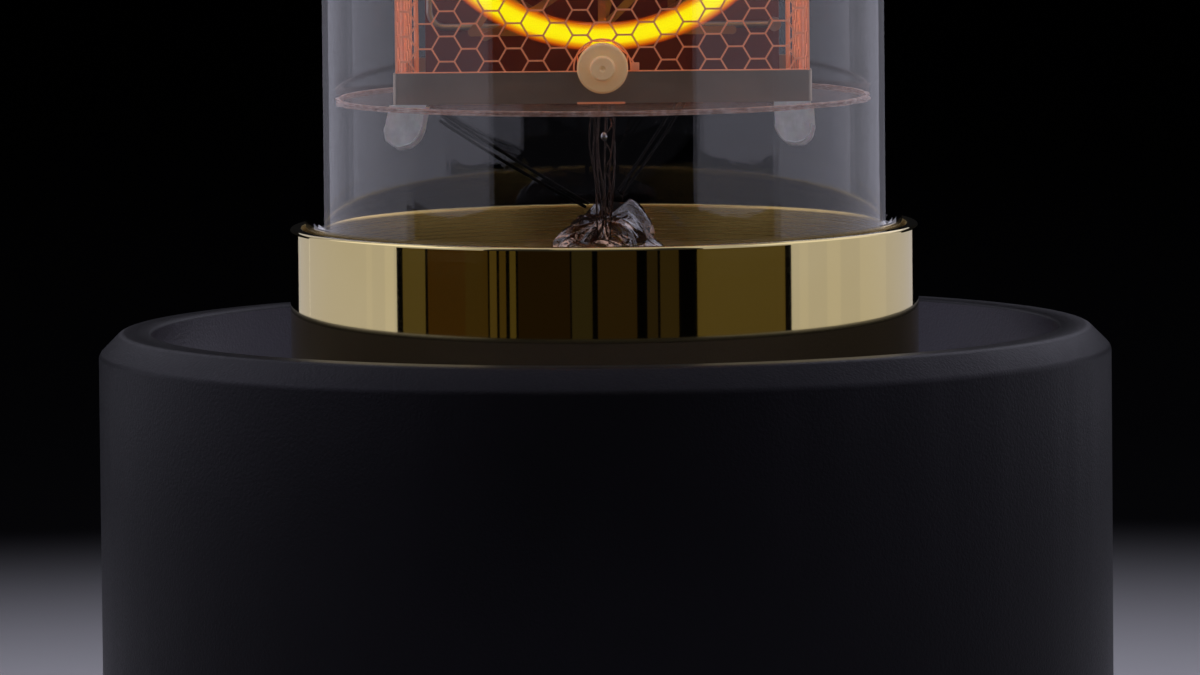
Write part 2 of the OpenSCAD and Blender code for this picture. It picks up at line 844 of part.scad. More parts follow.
module upper_mica() {
    color([0.8, 0.7, 0.65, 0.7]) translate([0, 0, box_z1]) linear_extrude(mica_t) mica_plan(upper_mica_r);
}

// Two pairs of half oval lugs under the front corners of the box
module mica_tabs() {
    w = 3.8;
    h = 4;
    leaf = 0.35;
    color([0.95, 0.95, 0.95, 0.8])
    for (x = [-(box_w / 2 - 1.1), box_w / 2 - 2.2], k = [0, 1])
        translate([x, 0, mica_z0]) standing(-box_front + k * (leaf + 0.15), leaf) {
            translate([-w / 2, w / 2 - h]) square([w, h - w / 2]);
            translate([0, w / 2 - h]) circle(w / 2, $fn = 48);
        }
}

// Flat honeycomb net, its lower left corner on the origin
module net(w, h) {
    pitch = mesh_cell * sqrt(3) / 2;
    border = 0.5;
    cols = floor((w - 2 * border - mesh_cell / sqrt(3) / 2) / pitch);
    rows = floor((h - 2 * border) / mesh_cell);
    x0 = (w - (cols - 1) * pitch) / 2;
    y0 = (h - (rows - 1) * mesh_cell) / 2;
    difference() {
        square([w, h]);
        for (c = [0:cols - 1], r = [0:rows - 1 - c % 2])
            translate([x0 + c * pitch, y0 + (r + (c % 2) / 2) * mesh_cell])
                circle(r = (mesh_cell - mesh_wire) / sqrt(3), $fn = 6);
    }
}

module anode_mesh() {
    z0 = box_z0 + band_h / 2;
    h = box_z1 - box_z0 - band_h;
    front_w = box_w - 2 * mesh_in - 2 * mesh_t - 2 * layer_gap;
    side_l = (box_depth - 2 * mesh_in - mesh_t) / cos(taper_angle);
    y = -box_front + mesh_in;
    color("#b5653a") {
        difference() {
            union() {
                translate([-front_w / 2, 0, z0]) standing(y, mesh_t) net(front_w, h);
                for (z = rod_zs)
                    translate([0, 0, z]) along_y(bush_d / 2 + 0.5, y, y + mesh_t);
            }
            for (z = rod_zs)
                translate([0, 0, z]) along_y(eyelet_r + 2 * fit, y - eps, y + mesh_t + eps);
        }
        for (s = [-1, 1])
            translate([s * (half_w(y) - mesh_in), y, z0])
                rotate([0, 0, s * taper_angle])
                translate([s > 0 ? -mesh_t : 0, 0, 0])
                rotate([90, 0, 90]) linear_extrude(mesh_t) net(side_l, h);
    }
}

// Plan of the box drawn in by a distance
module box_plan(inset) {
    y0 = -box_front + inset;
    y1 = box_back - inset;
    polygon([
        [-half_w(y0) + inset, y0],
        [half_w(y0) - inset, y0],
        [half_w(y1) - inset, y1],
        [-half_w(y1) + inset, y1]
    ]);
}

module anode_bands() {
    color("#8d8a80") difference() {
        for (z = [box_z0, box_z1 - band_h])
            translate([0, 0, z]) linear_extrude(band_h) difference() {
                box_plan(0);
                box_plan(band_t);
            }
        for (z = rod_zs)
            translate([0, 0, z]) along_y(eyelet_r + 2 * fit, -box_front - eps, -box_front + band_t + eps);
    }
}

module corner_posts() {
    proud = 1.2;
    color("#9a968c") translate([0, 0, mica_z0 - proud])
        linear_extrude(upper_mica_top - mica_z0 + 2 * proud) post_places() circle(post_d / 2, $fn = 24);
}

module back_plate() {
    inset = mesh_in + mesh_t + air;
    y = box_back - mesh_in - mesh_t;
    w = 2 * (half_w(y) - inset);
    color("#5f3a34") difference() {
        translate([-w / 2, y, box_z0 + fit]) cube([w, mesh_t, box_z1 - box_z0 - 2 * fit]);
        for (z = rod_zs)
            translate([0, 0, z]) along_y(rod_d / 2 + fit, y - eps, y + mesh_t + eps);
    }
}

// Stiffening wire in front of the back plate: one bend, one riveted end
module back_wire() {
    r = 0.35;
    bend = 1.6;
    y = box_back - mesh_in - mesh_t - post_d - r - 2 * air;
    x0 = -box_w * 0.42;
    x1 = box_w * 0.42;
    z = digit_z0;
    color("#8a8078") {
        translate([x0 + bend, y, z]) rotate([0, 90, 0]) cylinder(r = r, h = x1 - x0 - bend, $fn = 24);
        translate([x0 + bend, y, z + bend]) rotate([90, 0, 0]) rotate([0, 0, 180])
            rotate_extrude(angle = 90) translate([bend, 0]) circle(r, $fn = 24);
        translate([x0, y, z + bend]) cylinder(r = r, h = digit_h - 2 * bend, $fn = 24);
        translate([x1, 0, z]) along_y(2 * r, y - 2 * r, y + r);
    }
}

module digit_rods() {
    color("#9a968c") for (z = rod_zs)
        translate([0, 0, z]) along_y(rod_d / 2, -box_front + band_t, box_back - mesh_in);
}

module ceramic_spacers() {
    color("#efe9dc") for (z = rod_zs, i = [0:len(stack)]) {
        first = i == 0;
        last = i == len(stack);
        y0 = first ? -box_front + mesh_in + mesh_t + fit
            : stack_y0 + (i - 1) * digit_pitch + digit_t / 2 + fit;
        y1 = last ? box_back - mesh_in - mesh_t - fit
            : stack_y0 + i * digit_pitch - digit_t / 2 - fit;
        translate([0, 0, z]) difference() {
            along_y(spacer_r, y0, y1);
            along_y(rod_d / 2 + fit, y0 - eps, y1 + eps);
        }
    }
}

// White insulators on the front ends of the rods
module front_bushes() {
    disc_t = 1.2;
    cap_t = 0.8;
    y = -box_front - fit;
    color("#f3efe2") for (z = rod_zs)
        translate([0, 0, z]) difference() {
            union() {
                along_y(bush_d / 2, y - disc_t, y);
                along_y(bush_d * 0.24, y - disc_t - cap_t, y);
                along_y(eyelet_r, y - fit, -box_front + band_t);
            }
            along_y(rod_d / 2 + fit, -box_front + band_t - 0.2, eps);
        }
}

module getter_ring() {
    r = 5;
    wire = 0.5;
    x = -12;
    rise = 7;
    color("#b8b4aa") {
        translate([x, 0, upper_mica_top + rise]) rotate_extrude() translate([r, 0]) circle(wire, $fn = 24);
        translate([x + r, 0, upper_mica_top]) cylinder(r = wire * 0.8, h = rise, $fn = 24);
    }
}

// Strokes of the digits, drawn in a plane: u to the right, v up from the digit's foot
module cap(at) {
    translate(at) circle(cap_r, $fn = 24);
}

module bar(a, b) {
    d = b - a;
    translate(a) rotate(atan2(d.y, d.x)) translate([0, -stroke_w / 2]) square([norm(d), stroke_w]);
    cap(a);
    cap(b);
}

// Arc about c from angle a0 to a1, counter-clockwise
module arc(c, r, a0, a1) {
    steps = 8;
    for (a = [a0, a1])
        cap(c + r * [cos(a), sin(a)]);
    translate(c) intersection() {
        difference() {
            circle(r + stroke_w / 2, $fn = 120);
            circle(r - stroke_w / 2, $fn = 120);
        }
        polygon(concat([[0, 0]], [for (i = [0:steps])
            let (a = a0 + (a1 - a0) * i / steps) 2 * r * [cos(a), sin(a)]]));
    }
}

module ring(c, r) {
    translate(c) difference() {
        circle(r + stroke_w / 2, $fn = 120);
        circle(r - stroke_w / 2, $fn = 120);
    }
}

module zero_strokes() {
    rc = zero_w * 0.353;
    phi = asin((zero_w / 2 - rc) / (zero_r - rc));
    vc = zero_r - (zero_r - rc) * cos(phi);
    for (m = [0, 1])
        translate([0, m * digit_h]) mirror([0, m]) {
            arc([0, zero_r], zero_r, 270 - phi, 270 + phi);
            arc([zero_w / 2 - rc, vc], rc, 270 + phi, 360);
            arc([rc - zero_w / 2, vc], rc, 180, 270 - phi);
        }
    for (s = [-1, 1])
        bar([s * zero_w / 2, vc], [s * zero_w / 2, digit_h - vc]);
}

module six_strokes() {
    big = digit_h * 0.81;
    rise = digit_h - low_r;
    sweep = asin(rise / big);
    cross = acos((big - low_r) / big);
    ring([0, low_r], low_r);
    arc([big - low_r, low_r], big, 180 - sweep, 180);
    bar([0, low_r + big * sin(cross)], [0, digit_h]);
}

module strokes(n) {
    w = digit_w / 2;
    h = digit_h;
    if (n == 0) zero_strokes();
    if (n == 1) {
        bar([0, 0], [0, h]);
        bar([0, h], [-w * 0.46, h - w * 0.7]);
    }
    if (n == 2) {
        arc([0, h - w], w, -37, 165);
        bar([w * cos(-37), h - w + w * sin(-37)], [-w, 0]);
        bar([-w, 0], [w, 0]);
    }
    if (n == 3) {
        arc([0, low_r], low_r, -155, 90);
        arc([0, h - high_r], high_r, -90, 155);
        bar([-w * 0.3, waist], [0, waist]);
    }
    if (n == 4) {
        post_u = w * 0.54;
        cross_v = h * 0.29;
        bar([post_u, 0], [post_u, h]);
        bar([-w, cross_v], [w, cross_v]);
        bar([-w, cross_v], [post_u, h]);
        bar([0, 0], [post_u, post_u]);
        bar([0, cross_v + (h - cross_v) * w / (w + post_u)], [0, h]);
    }
    if (n == 5) {
        arc([0, low_r], low_r, -155, 135);
        bar([low_r * cos(135), low_r + low_r * sin(135)], [-w * 0.85, h]);
        bar([-w * 0.85, h], [w * 0.92, h]);
    }
    if (n == 6) six_strokes();
    if (n == 7) {
        bar([-w, h], [w, h]);
        bar([w, h], [0, 0]);
    }
    if (n == 8) {
        ring([0, low_r], low_r);
        ring([0, h - high_r], high_r);
    }
    if (n == 9) translate([0, h]) rotate(180) six_strokes();
}

// A digit with its tail, its two eyelets and the holes for the rods
module digit(n) {
    place = search(n, stack)[0];
    foot = tail_z - digit_z0;
    color(n == 0 ? "#ff8c1a" : "#a08c78")
    translate([0, 0, digit_z0]) standing(stack_y0 + place * digit_pitch - digit_t / 2, digit_t) difference() {
        union() {
            strokes(n);
            bar([0, foot + stroke_w / 2], [0, 0]);
            bar([0, digit_h], [0, digit_h + rod_drop]);
            translate([0, -rod_drop]) circle(eyelet_r, $fn = 48);
            translate([0, digit_h + rod_drop]) circle(eyelet_r, $fn = 48);
        }
        translate([0, -rod_drop]) circle(rod_d / 2 + fit, $fn = 48);
        translate([0, digit_h + rod_drop]) circle(rod_d / 2 + fit, $fn = 48);
    }
}

module digit_0() { digit(0); }
module digit_1() { digit(1); }
module digit_2() { digit(2); }
module digit_3() { digit(3); }
module digit_4() { digit(4); }
module digit_5() { digit(5); }
module digit_6() { digit(6); }
module digit_7() { digit(7); }
module digit_8() { digit(8); }
module digit_9() { digit(9); }

housing_sleeve();
deck_plate();
deck_screws();
bottom_cover();
cover_screws();
rubber_feet();
rear_plate();
plate_screws();
brass_collar();
collar_screws();
collar_gasket();
main_board();
board_standoffs();
board_screws();
carrier_board();
tube_socket();
socket_contacts();
board_header();
usb_inlet();
switch_bodies();
boost_inductor();
reservoir_capacitor();
controller_chip();
driver_chips();
clock_crystal();
power_transistor();
cell_holder();
coin_cell();
set_button();
up_button();
down_button();
tube_base();
contact_pins();
glass_envelope();
glass_stem();
exhaust_tube();
stem_leads();
support_wires();
lower_mica();
mica_tabs();
anode_mesh();
anode_bands();
corner_posts();
back_plate();
back_wire();
digit_rods();
ceramic_spacers();
front_bushes();
upper_mica();
getter_ring();
digit_0();
digit_1();
digit_2();
digit_3();
digit_4();
digit_5();
digit_6();
digit_7();
digit_8();
digit_9();
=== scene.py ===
# Nixie tube clock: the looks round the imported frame.
# Metres, +Z up, the digit faces -Y. The pieces' dictionaries are in millimetres, those of the floor and
# the soft panels in metres.
import math

import bmesh
import bpy
from mathutils import Matrix, Quaternion, Vector, noise


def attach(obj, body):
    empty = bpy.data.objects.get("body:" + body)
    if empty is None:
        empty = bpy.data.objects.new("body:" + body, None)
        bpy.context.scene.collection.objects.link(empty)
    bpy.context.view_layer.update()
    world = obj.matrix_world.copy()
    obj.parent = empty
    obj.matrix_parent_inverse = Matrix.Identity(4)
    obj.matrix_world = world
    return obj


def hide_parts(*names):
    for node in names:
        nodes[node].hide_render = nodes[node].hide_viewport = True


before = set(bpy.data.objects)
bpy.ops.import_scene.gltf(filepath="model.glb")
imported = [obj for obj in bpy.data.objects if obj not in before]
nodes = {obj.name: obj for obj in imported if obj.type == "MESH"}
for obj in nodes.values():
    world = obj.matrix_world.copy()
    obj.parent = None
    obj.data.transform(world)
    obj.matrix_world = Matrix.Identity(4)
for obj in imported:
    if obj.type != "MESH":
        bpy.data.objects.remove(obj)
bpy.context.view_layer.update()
scene = bpy.context.scene
mm = 0.001
print("frame loaded:", len(nodes), "nodes")


def linked(name, data):
    # an object with this data, in the scene
    made = bpy.data.objects.new(name, data)
    scene.collection.objects.link(made)
    return made


def toMesh(shape):
    mesh = bpy.data.meshes.new("shape")
    shape.to_mesh(mesh)
    shape.free()
    return mesh


# Camera, floor and lamps
shot = {"target": (-0.5, 0, 50.94), "distance": 1200, "elevation": 4.7, "roll": -0.55, "lens": 360}
rise = math.radians(shot["elevation"])
lookBack = Vector((0, -math.cos(rise), math.sin(rise)))
cameraData = bpy.data.cameras.new("photoCamera")
cameraData.lens = shot["lens"]
cameraData.clip_start = 0.05
cameraData.clip_end = 30
camera = linked("photoCamera", cameraData)
camera.location = (Vector(shot["target"]) + lookBack * shot["distance"]) * mm
tilt = Quaternion((0, 0, 1), math.radians(shot["roll"]))
camera.rotation_euler = ((-lookBack).to_track_quat("-Z", "Y") @ tilt).to_euler()
scene.camera = camera

scene.view_settings.view_transform = "Standard"
room = bpy.data.worlds.new("dimRoom")
scene.world = room
room.use_nodes = True
roomColour = (0.006, 0.006, 0.0066)
room.node_tree.nodes["Background"].inputs["Color"].default_value = (*roomColour, 1)
coolWhite = (0.84, 0.83, 1.0)


def softbox(name, place, aim, width, height, level, colour=coolWhite):
    # a soft panel, place and size in metres; level is how bright the panel itself looks
    lamp = bpy.data.lights.new(name, "AREA")
    lamp.shape = "RECTANGLE"
    lamp.size = width
    lamp.size_y = height
    lamp.energy = level * math.pi * width * height
    lamp.color = colour
    box = linked(name, lamp)
    box.location = place
    box.rotation_euler = (Vector(place) - Vector(aim)).to_track_quat("Z", "Y").to_euler()
    box.visible_camera = False


def sidePanel(name, start, end, distance, bottom, height, level, colour=coolWhite):
    # an upright panel from one azimuth to another; 0 is in front, 90 to the right
    half = math.radians(abs(end - start) / 2)
    turn = math.radians((start + end) / 2)
    middle = bottom + height / 2
    centre = (math.sin(turn) * distance, -math.cos(turn) * distance, middle)
    softbox(name, centre, (0, 0, middle), 2 * distance * math.tan(half), height, level, colour)


# name, start, end, distance, bottom, height, level
sidePanels = (
    ("leftPanel", -79.3, -134.5, 0.42, 0.001, 0.7, 0.59),
    ("leftFar", -134.3, -148, 0.47, 0.001, 0.0285, 0.59),
    ("leftHigh", -138, -166, 0.45, 0.17, 0.55, 0.6),
    ("leftFront", -43, -79.3, 0.42, 0.0365, 0.66, 0.5),
    ("rightPanel", 70, 137, 0.42, 0.001, 0.7, 0.57),
    ("rightFar", 136.8, 151.8, 0.47, 0.001, 0.0285, 0.57),
    ("rightHigh", 140, 166, 0.45, 0.17, 0.55, 0.6),
    ("rightFront", 35, 70, 0.42, 0.0365, 0.66, 0.5),
    ("leftTop", -60, -125, 0.41, 0.22, 0.45, 0.7),
    ("rightTop", 60, 125, 0.41, 0.22, 0.45, 0.45),
    ("frontDim", -43, 35, 0.42, 0.04, 0.66, 0.022),
)
for panel in sidePanels:
    sidePanel(*panel)

# Dim warm strips near the floor, for the brass to mirror
tableStrips = {"distance": 0.42, "bottom": 0.001, "height": 0.035, "each": (
    (-66.3, -76.2, 0.074, (1.0, 0.78, 0.30)),
    (-50, -65.2, 0.034, (1.0, 0.50, 0.08)),
    (-41.5, -50, 0.036, (1.0, 0.62, 0.14)),
    (-38.2, -40.8, 0.062, (1.0, 0.70, 0.20)),
    (-34.8, -37.2, 0.048, (1.0, 0.66, 0.16)),
    (-31.2, -33.4, 0.062, (1.0, 0.74, 0.20)),
    (-12, -30.4, 0.011, (1.0, 0.56, 0.10)),
    (-4.3, -11.4, 0.02, (1.0, 0.80, 0.36)),
    (-2.4, 11.2, 0.019, (1.0, 0.62, 0.20)),
    (14.8, 18.5, 0.018, (1.0, 0.70, 0.30)),
    (19.4, 26, 0.025, (1.0, 0.70, 0.26)),
    (32.7, 67, 0.076, (1.0, 0.76, 0.27)),
)}
for start, end, level, colour in tableStrips["each"]:
    sidePanel("tableStrip", start, end, tableStrips["distance"], tableStrips["bottom"], tableStrips["height"],
              level, colour)
# Faint streaks beside the bright panels' edges
streaks = {"distance": 0.4, "bottom": 0.001, "height": 0.6, "colour": (1.0, 0.93, 0.8), "each": (
    (-80, -84.5, 0.05), (-91, -94, 0.03), (73, 77, 0.03), (86, 93, 0.04), (104, 122, 0.04))}
for start, end, level in streaks["each"]:
    sidePanel("streak", start, end, streaks["distance"], streaks["bottom"], streaks["height"], level,
              streaks["colour"])
softbox("topPanel", (0, -0.1, 0.95), (0, 0, 0.05), 1.0, 0.8, 0.55)
softbox("frontTop", (0, -0.75, 0.75), (0, 0, 0.09), 0.6, 0.4, 0.3, (1.0, 0.9, 0.7))
softbox("backTop", (0.3, 0.65, 0.5), (0, 0, 0.05), 0.6, 0.4, 0.5)


def feed(tree, node, inputs):
    # a socket is linked to the input, any other value is set on it
    for label, value in inputs.items():
        socket = node.inputs[label]
        if isinstance(value, bpy.types.NodeSocket):
            tree.links.new(value, socket)
        else:
            socket.default_value = (*value, 1) if socket.type == "RGBA" and len(value) == 3 else value
    return node


def addNode(tree, kind, inputs=None, **settings):
    node = tree.nodes.new(kind)
    for name, value in settings.items():
        setattr(node, name, value)
    return feed(tree, node, inputs or {})


def newMaterial(name):
    material = bpy.data.materials.new(name)
    material.use_nodes = True
    return material, material.node_tree, material.node_tree.nodes["Principled BSDF"]


def mathStep(tree, operation, *values):
    return addNode(tree, "ShaderNodeMath", dict(enumerate(values)), operation=operation).outputs[0]


def vectorStep(tree, operation, *values, output=0, **named):
    inputs = {**dict(enumerate(values)), **named}
    return addNode(tree, "ShaderNodeVectorMath", inputs, operation=operation).outputs[output]


def mixColour(tree, factor, first, second):
    inputs = {"Factor": factor, "A": first, "B": second}
    return addNode(tree, "ShaderNodeMix", inputs, data_type="RGBA").outputs["Result"]


def rangeStep(tree, value, low, high):
    # 0 to 1 becomes low to high
    return addNode(tree, "ShaderNodeMapRange", {"Value": value, "To Min": low, "To Max": high}).outputs["Result"]


def objectPlace(tree):
    return addNode(tree, "ShaderNodeTexCoord").outputs["Object"]


# Pale round the object, as dim as the room further out: the fade is a painted pool of light, the floor's colour
# going dark where the light would fall off
floor = {"radius": 5.0, "pale": (0.55, 0.55, 0.56), "far": (0.004, 0.004, 0.0044), "fadeFrom": 0.09,
         "fadeTo": 0.34, "roughness": 0.75}
floorMaterial, tree, shader = newMaterial("paleFloor")
fade = {"Value": vectorStep(tree, "LENGTH", objectPlace(tree), output="Value"), "From Min": floor["fadeFrom"],
        "From Max": floor["fadeTo"]}
fade = addNode(tree, "ShaderNodeMapRange", fade, interpolation_type="SMOOTHSTEP").outputs["Result"]
feed(tree, shader, {"Base Color": mixColour(tree, fade, floor["pale"], floor["far"]),
                    "Roughness": floor["roughness"], "Specular IOR Level": 0})
floorShape = bmesh.new()
bmesh.ops.create_circle(floorShape, cap_ends=True, segments=96, radius=floor["radius"])
floorPiece = linked("floor", toMesh(floorShape))
floorPiece.data.materials.append(floorMaterial)

# What the lit digit itself throws on the parts round it, in millimetres
glowLamps = {"y": -9.0, "power": 0.0022, "radius": 2.0, "colour": (1.0, 0.35, 0.06),
             "places": ((0, 83), (-13, 88), (13, 88), (-17, 107), (17, 107), (-13, 127), (13, 127), (0, 132))}
for x, z in glowLamps["places"]:
    lamp = bpy.data.lights.new("neonLamp", "POINT")
    lamp.energy = glowLamps["power"]
    lamp.shadow_soft_size = glowLamps["radius"] * mm
    lamp.color = glowLamps["colour"]
    glow = linked("neonLamp", lamp)
    glow.location = Vector((x, glowLamps["y"], z)) * mm
    glow.visible_camera = False
    glow.visible_transmission = False
    glow.visible_glossy = False
print("camera, floor and lamps set")


# Shader groups: each puts out masks and heights, and the shaders stay in the materials
def newGroup(name, numbers, outputs):
    group = bpy.data.node_groups.new(name, "ShaderNodeTree")
    for label, value in numbers.items():
        kind = "NodeSocketVector" if isinstance(value, tuple) else "NodeSocketFloat"
        group.interface.new_socket(label, in_out="INPUT", socket_type=kind).default_value = value
    for label in outputs:
        group.interface.new_socket(label, in_out="OUTPUT", socket_type="NodeSocketFloat")
    return group, addNode(group, "NodeGroupInput").outputs, addNode(group, "NodeGroupOutput")


def noiseOf(tree, vector, size, detail=3, roughness=0.5):
    # size is in millimetres
    scale = mathStep(tree, "DIVIDE", 1000, size)
    inputs = {"Vector": vector, "Scale": scale, "Detail": detail, "Roughness": roughness}
    return addNode(tree, "ShaderNodeTexNoise", inputs).outputs["Fac"]


def fromAxis(tree, spot):
    return vectorStep(tree, "LENGTH", vectorStep(tree, "MULTIPLY", spot, (1, 1, 0)), output="Value")


def insideBore(tree, across, bore):
    return mathStep(tree, "LESS_THAN", across, mathStep(tree, "MULTIPLY", bore, mm))


patternOutputs = ("Height", "Cloud", "Inside")

# Fine pitted surface, with a slow mottle over it
blastGroup, given, result = newGroup("beadBlast", {"Grain": 0.3, "Mottle": 12.0, "Bore": 0.0}, patternOutputs)
spot = objectPlace(blastGroup)
feed(blastGroup, result, {
    "Height": noiseOf(blastGroup, spot, given["Grain"], 3, 0.65),
    "Cloud": noiseOf(blastGroup, spot, given["Mottle"]),
    "Inside": insideBore(blastGroup, fromAxis(blastGroup, spot), given["Bore"])})

# Lines left by the tool on a turned part: they don't change round the axis
turnGroup, given, result = newGroup("turningLines", {"Pitch": 0.12, "Mottle": 9.0, "Bore": 0.0}, patternOutputs)
spot = objectPlace(turnGroup)
across = fromAxis(turnGroup, spot)
upright = addNode(turnGroup, "ShaderNodeSeparateXYZ", {0: spot}).outputs["Z"]
ringPlace = addNode(turnGroup, "ShaderNodeCombineXYZ", {"X": across, "Z": upright}).outputs[0]
feed(turnGroup, result, {
    "Height": noiseOf(turnGroup, ringPlace, given["Pitch"], 2),
    "Cloud": noiseOf(turnGroup, spot, given["Mottle"]),
    "Inside": insideBore(turnGroup, across, given["Bore"])})

# Drawn or rolled metal: streaks along one direction, which Stretch names by its small part
drawnGroup, given, result = newGroup(
    "drawnStreaks", {"Stretch": (1.0, 1.0, 0.05), "Pitch": 0.15, "Mottle": 6.0}, patternOutputs[:2])
spot = objectPlace(drawnGroup)
feed(drawnGroup, result, {
    "Height": noiseOf(drawnGroup, vectorStep(drawnGroup, "MULTIPLY", spot, given["Stretch"]), given["Pitch"]),
    "Cloud": noiseOf(drawnGroup, spot, given["Mottle"])})

# Dust that settles on faces that look up
dustGroup, given, result = newGroup("settledDust", {"Amount": 0.3, "Size": 0.5}, ("Mask",))
specks = noiseOf(dustGroup, objectPlace(dustGroup), given["Size"], 4, 0.7)
specks = mathStep(dustGroup, "SMOOTH_MIN", mathStep(dustGroup, "MULTIPLY", specks, specks), 1.0, 0.1)
facing = addNode(dustGroup, "ShaderNodeNewGeometry").outputs["Normal"]
upward = addNode(dustGroup, "ShaderNodeSeparateXYZ", {0: facing}).outputs["Z"]
upward = mathStep(dustGroup, "MAXIMUM", upward, 0.0)
mask = mathStep(dustGroup, "MULTIPLY", mathStep(dustGroup, "MULTIPLY", specks, upward), given["Amount"])
feed(dustGroup, result, {"Mask": mask})


def placeGroup(tree, group, values):
    return addNode(tree, "ShaderNodeGroup", values, node_tree=group).outputs


def dress(material, *names):
    # puts the material on CAD nodes that stay as they are
    for name in names:
        slots = nodes[name].data.materials
        for index in range(len(slots)):
            slots[index] = material
        if not slots:
            slots.append(material)


dustColour = (0.3, 0.29, 0.28)


def finish(name, pattern, colour, shade, roughness, *dressed, metallic=0.0, bump=0.02, dust=0.0, alpha=None,
           bore=None, boreTint=None, constants=None, **patternValues):
    # colour and shade mix with the slow mottle; roughness is (smooth, rough); bump is a depth in millimetres;
    # bore and boreTint are the roughness and colour inside the radius that Bore names; dressed are CAD nodes
    material, tree, shader = newMaterial(name)
    marks = placeGroup(tree, pattern, patternValues)
    tint = mixColour(tree, rangeStep(tree, marks["Cloud"], -0.6, 1.6), colour, shade)
    rough = rangeStep(tree, marks["Height"], *roughness)
    if bore:
        inputs = {"Factor": marks["Inside"], "A": rough, "B": rangeStep(tree, marks["Height"], *bore)}
        rough = addNode(tree, "ShaderNodeMix", inputs, data_type="FLOAT").outputs["Result"]
        tint = mixColour(tree, marks["Inside"], tint, boreTint)
    if dust:
        settled = placeGroup(tree, dustGroup, {"Amount": dust})["Mask"]
        tint = mixColour(tree, settled, tint, dustColour)
        rough = mathStep(tree, "MAXIMUM", rough, mathStep(tree, "MULTIPLY", settled, 0.9))
    relief = addNode(tree, "ShaderNodeBump", {"Distance": bump * mm, "Height": marks["Height"]})
    feed(tree, shader, {"Base Color": tint, "Roughness": rough, "Normal": relief.outputs["Normal"],
                        "Metallic": metallic, **(constants or {})})
    if alpha:
        feed(tree, shader, {"Alpha": rangeStep(tree, marks["Cloud"], *alpha)})
    dress(material, *dressed)
    return material


def glass(name, tint, ripple, roughness=0.0, ior=1.47):
    # lets the lamps' light through, so that what is inside stays lit
    material, tree, shader = newMaterial(name)
    marks = placeGroup(tree, blastGroup, {"Grain": 9.0, "Mottle": 30.0})
    relief = addNode(tree, "ShaderNodeBump", {"Distance": ripple * mm, "Height": marks["Height"]})
    feed(tree, shader, {"Base Color": tint, "Roughness": roughness, "IOR": ior, "Transmission Weight": 1,
                        "Normal": relief.outputs["Normal"]})
    clear = addNode(tree, "ShaderNodeBsdfTransparent", {"Color": (0.97, 0.97, 0.97)})
    shadow = addNode(tree, "ShaderNodeLightPath").outputs["Is Shadow Ray"]
    either = addNode(tree, "ShaderNodeMixShader", {"Fac": shadow, 1: shader.outputs[0], 2: clear.outputs[0]})
    feed(tree, tree.nodes["Material Output"], {"Surface": either.outputs[0]})
    return material


def glowing(name, strength, lightOf):
    # lightOf gives the colour and the opacity; the surface mirrors nothing
    material, tree, shader = newMaterial(name)
    colour, opacity = lightOf(tree)
    feed(tree, shader, {"Emission Color": colour, "Emission Strength": strength, "Alpha": opacity,
                        "Base Color": (0.02, 0.01, 0.005), "Specular IOR Level": 0, "Roughness": 1})
    return material


violetSheen = {"Specular IOR Level": 0.17, "Specular Tint": (0.88, 0.86, 1.0)}
# Inside the bore the lighter, bluer boreTint is partly the trough wall's own dark finish and partly painted sheen:
# it stands in for the side panels' grazing light on the wall
housingBlack = finish("housingBlack", blastGroup, (0.0025, 0.0025, 0.0033), (0.0045, 0.0042, 0.0056),
        (0.32, 0.52), bump=0.045, dust=0.05, bore=(0.24, 0.4), boreTint=(0.036, 0.035, 0.054),
        constants=violetSheen, Grain=0.3, Mottle=14.0, Bore=45.32)
finish("deckBlack", turnGroup, (0.010, 0.010, 0.012), (0.016, 0.015, 0.019), (0.3, 0.5), "deck_plate",
        bump=0.012, dust=0.2, constants=violetSheen, Pitch=0.16, Mottle=11.0)
finish("coverBlack", blastGroup, (0.013, 0.013, 0.015), (0.02, 0.019, 0.022), (0.42, 0.62), "bottom_cover",
        bump=0.025, constants=violetSheen, Grain=0.35, Mottle=16.0)
finish("plateBlack", drawnGroup, (0.016, 0.016, 0.019), (0.026, 0.025, 0.03), (0.3, 0.48), "rear_plate",
        bump=0.012, dust=0.1, constants=violetSheen, Stretch=(0.04, 1.0, 1.0), Pitch=0.14, Mottle=7.0)
finish("keyMetal", turnGroup, (0.30, 0.30, 0.32), (0.38, 0.38, 0.40), (0.2, 0.38), "set_button", "up_button",
        "down_button", metallic=1.0, bump=0.006, Pitch=0.1, Mottle=3.0)
mirrorBrass = finish("mirrorBrass", turnGroup, (0.82, 0.67, 0.30), (0.86, 0.71, 0.34), (0.01, 0.07),
        metallic=1.0, bump=0.0002, bore=(0.2, 0.36), boreTint=(0.86, 0.61, 0.2), Pitch=0.18, Mottle=14.0,
        Bore=30.3)
finish("spacerBrass", drawnGroup, (0.62, 0.44, 0.16), (0.72, 0.52, 0.22), (0.22, 0.42), "board_standoffs",
        metallic=1.0, bump=0.008, Stretch=(1.0, 1.0, 0.05), Pitch=0.12)
finish("contactBrass", drawnGroup, (0.74, 0.56, 0.24), (0.84, 0.66, 0.32), (0.14, 0.3), "socket_contacts",
        "contact_pins", metallic=1.0, bump=0.004, Stretch=(1.0, 1.0, 0.06), Pitch=0.1)
finish("screwSteel", turnGroup, (0.36, 0.36, 0.37), (0.46, 0.46, 0.47), (0.22, 0.42), "deck_screws",
        "cover_screws", "plate_screws", "collar_screws", "board_screws", metallic=1.0, bump=0.008, dust=0.1,
        Pitch=0.12, Mottle=2.0)
brightSteel = finish("brightSteel", drawnGroup, (0.55, 0.55, 0.56), (0.66, 0.66, 0.67), (0.14, 0.3),
        "usb_inlet", "clock_crystal", "coin_cell", metallic=1.0, bump=0.004, Stretch=(1.0, 0.06, 1.0),
        Pitch=0.1)
finish("footRubber", blastGroup, (0.016, 0.016, 0.017), (0.03, 0.03, 0.031), (0.6, 0.85), "rubber_feet",
        bump=0.05, dust=0.2, Grain=0.5, Mottle=6.0)
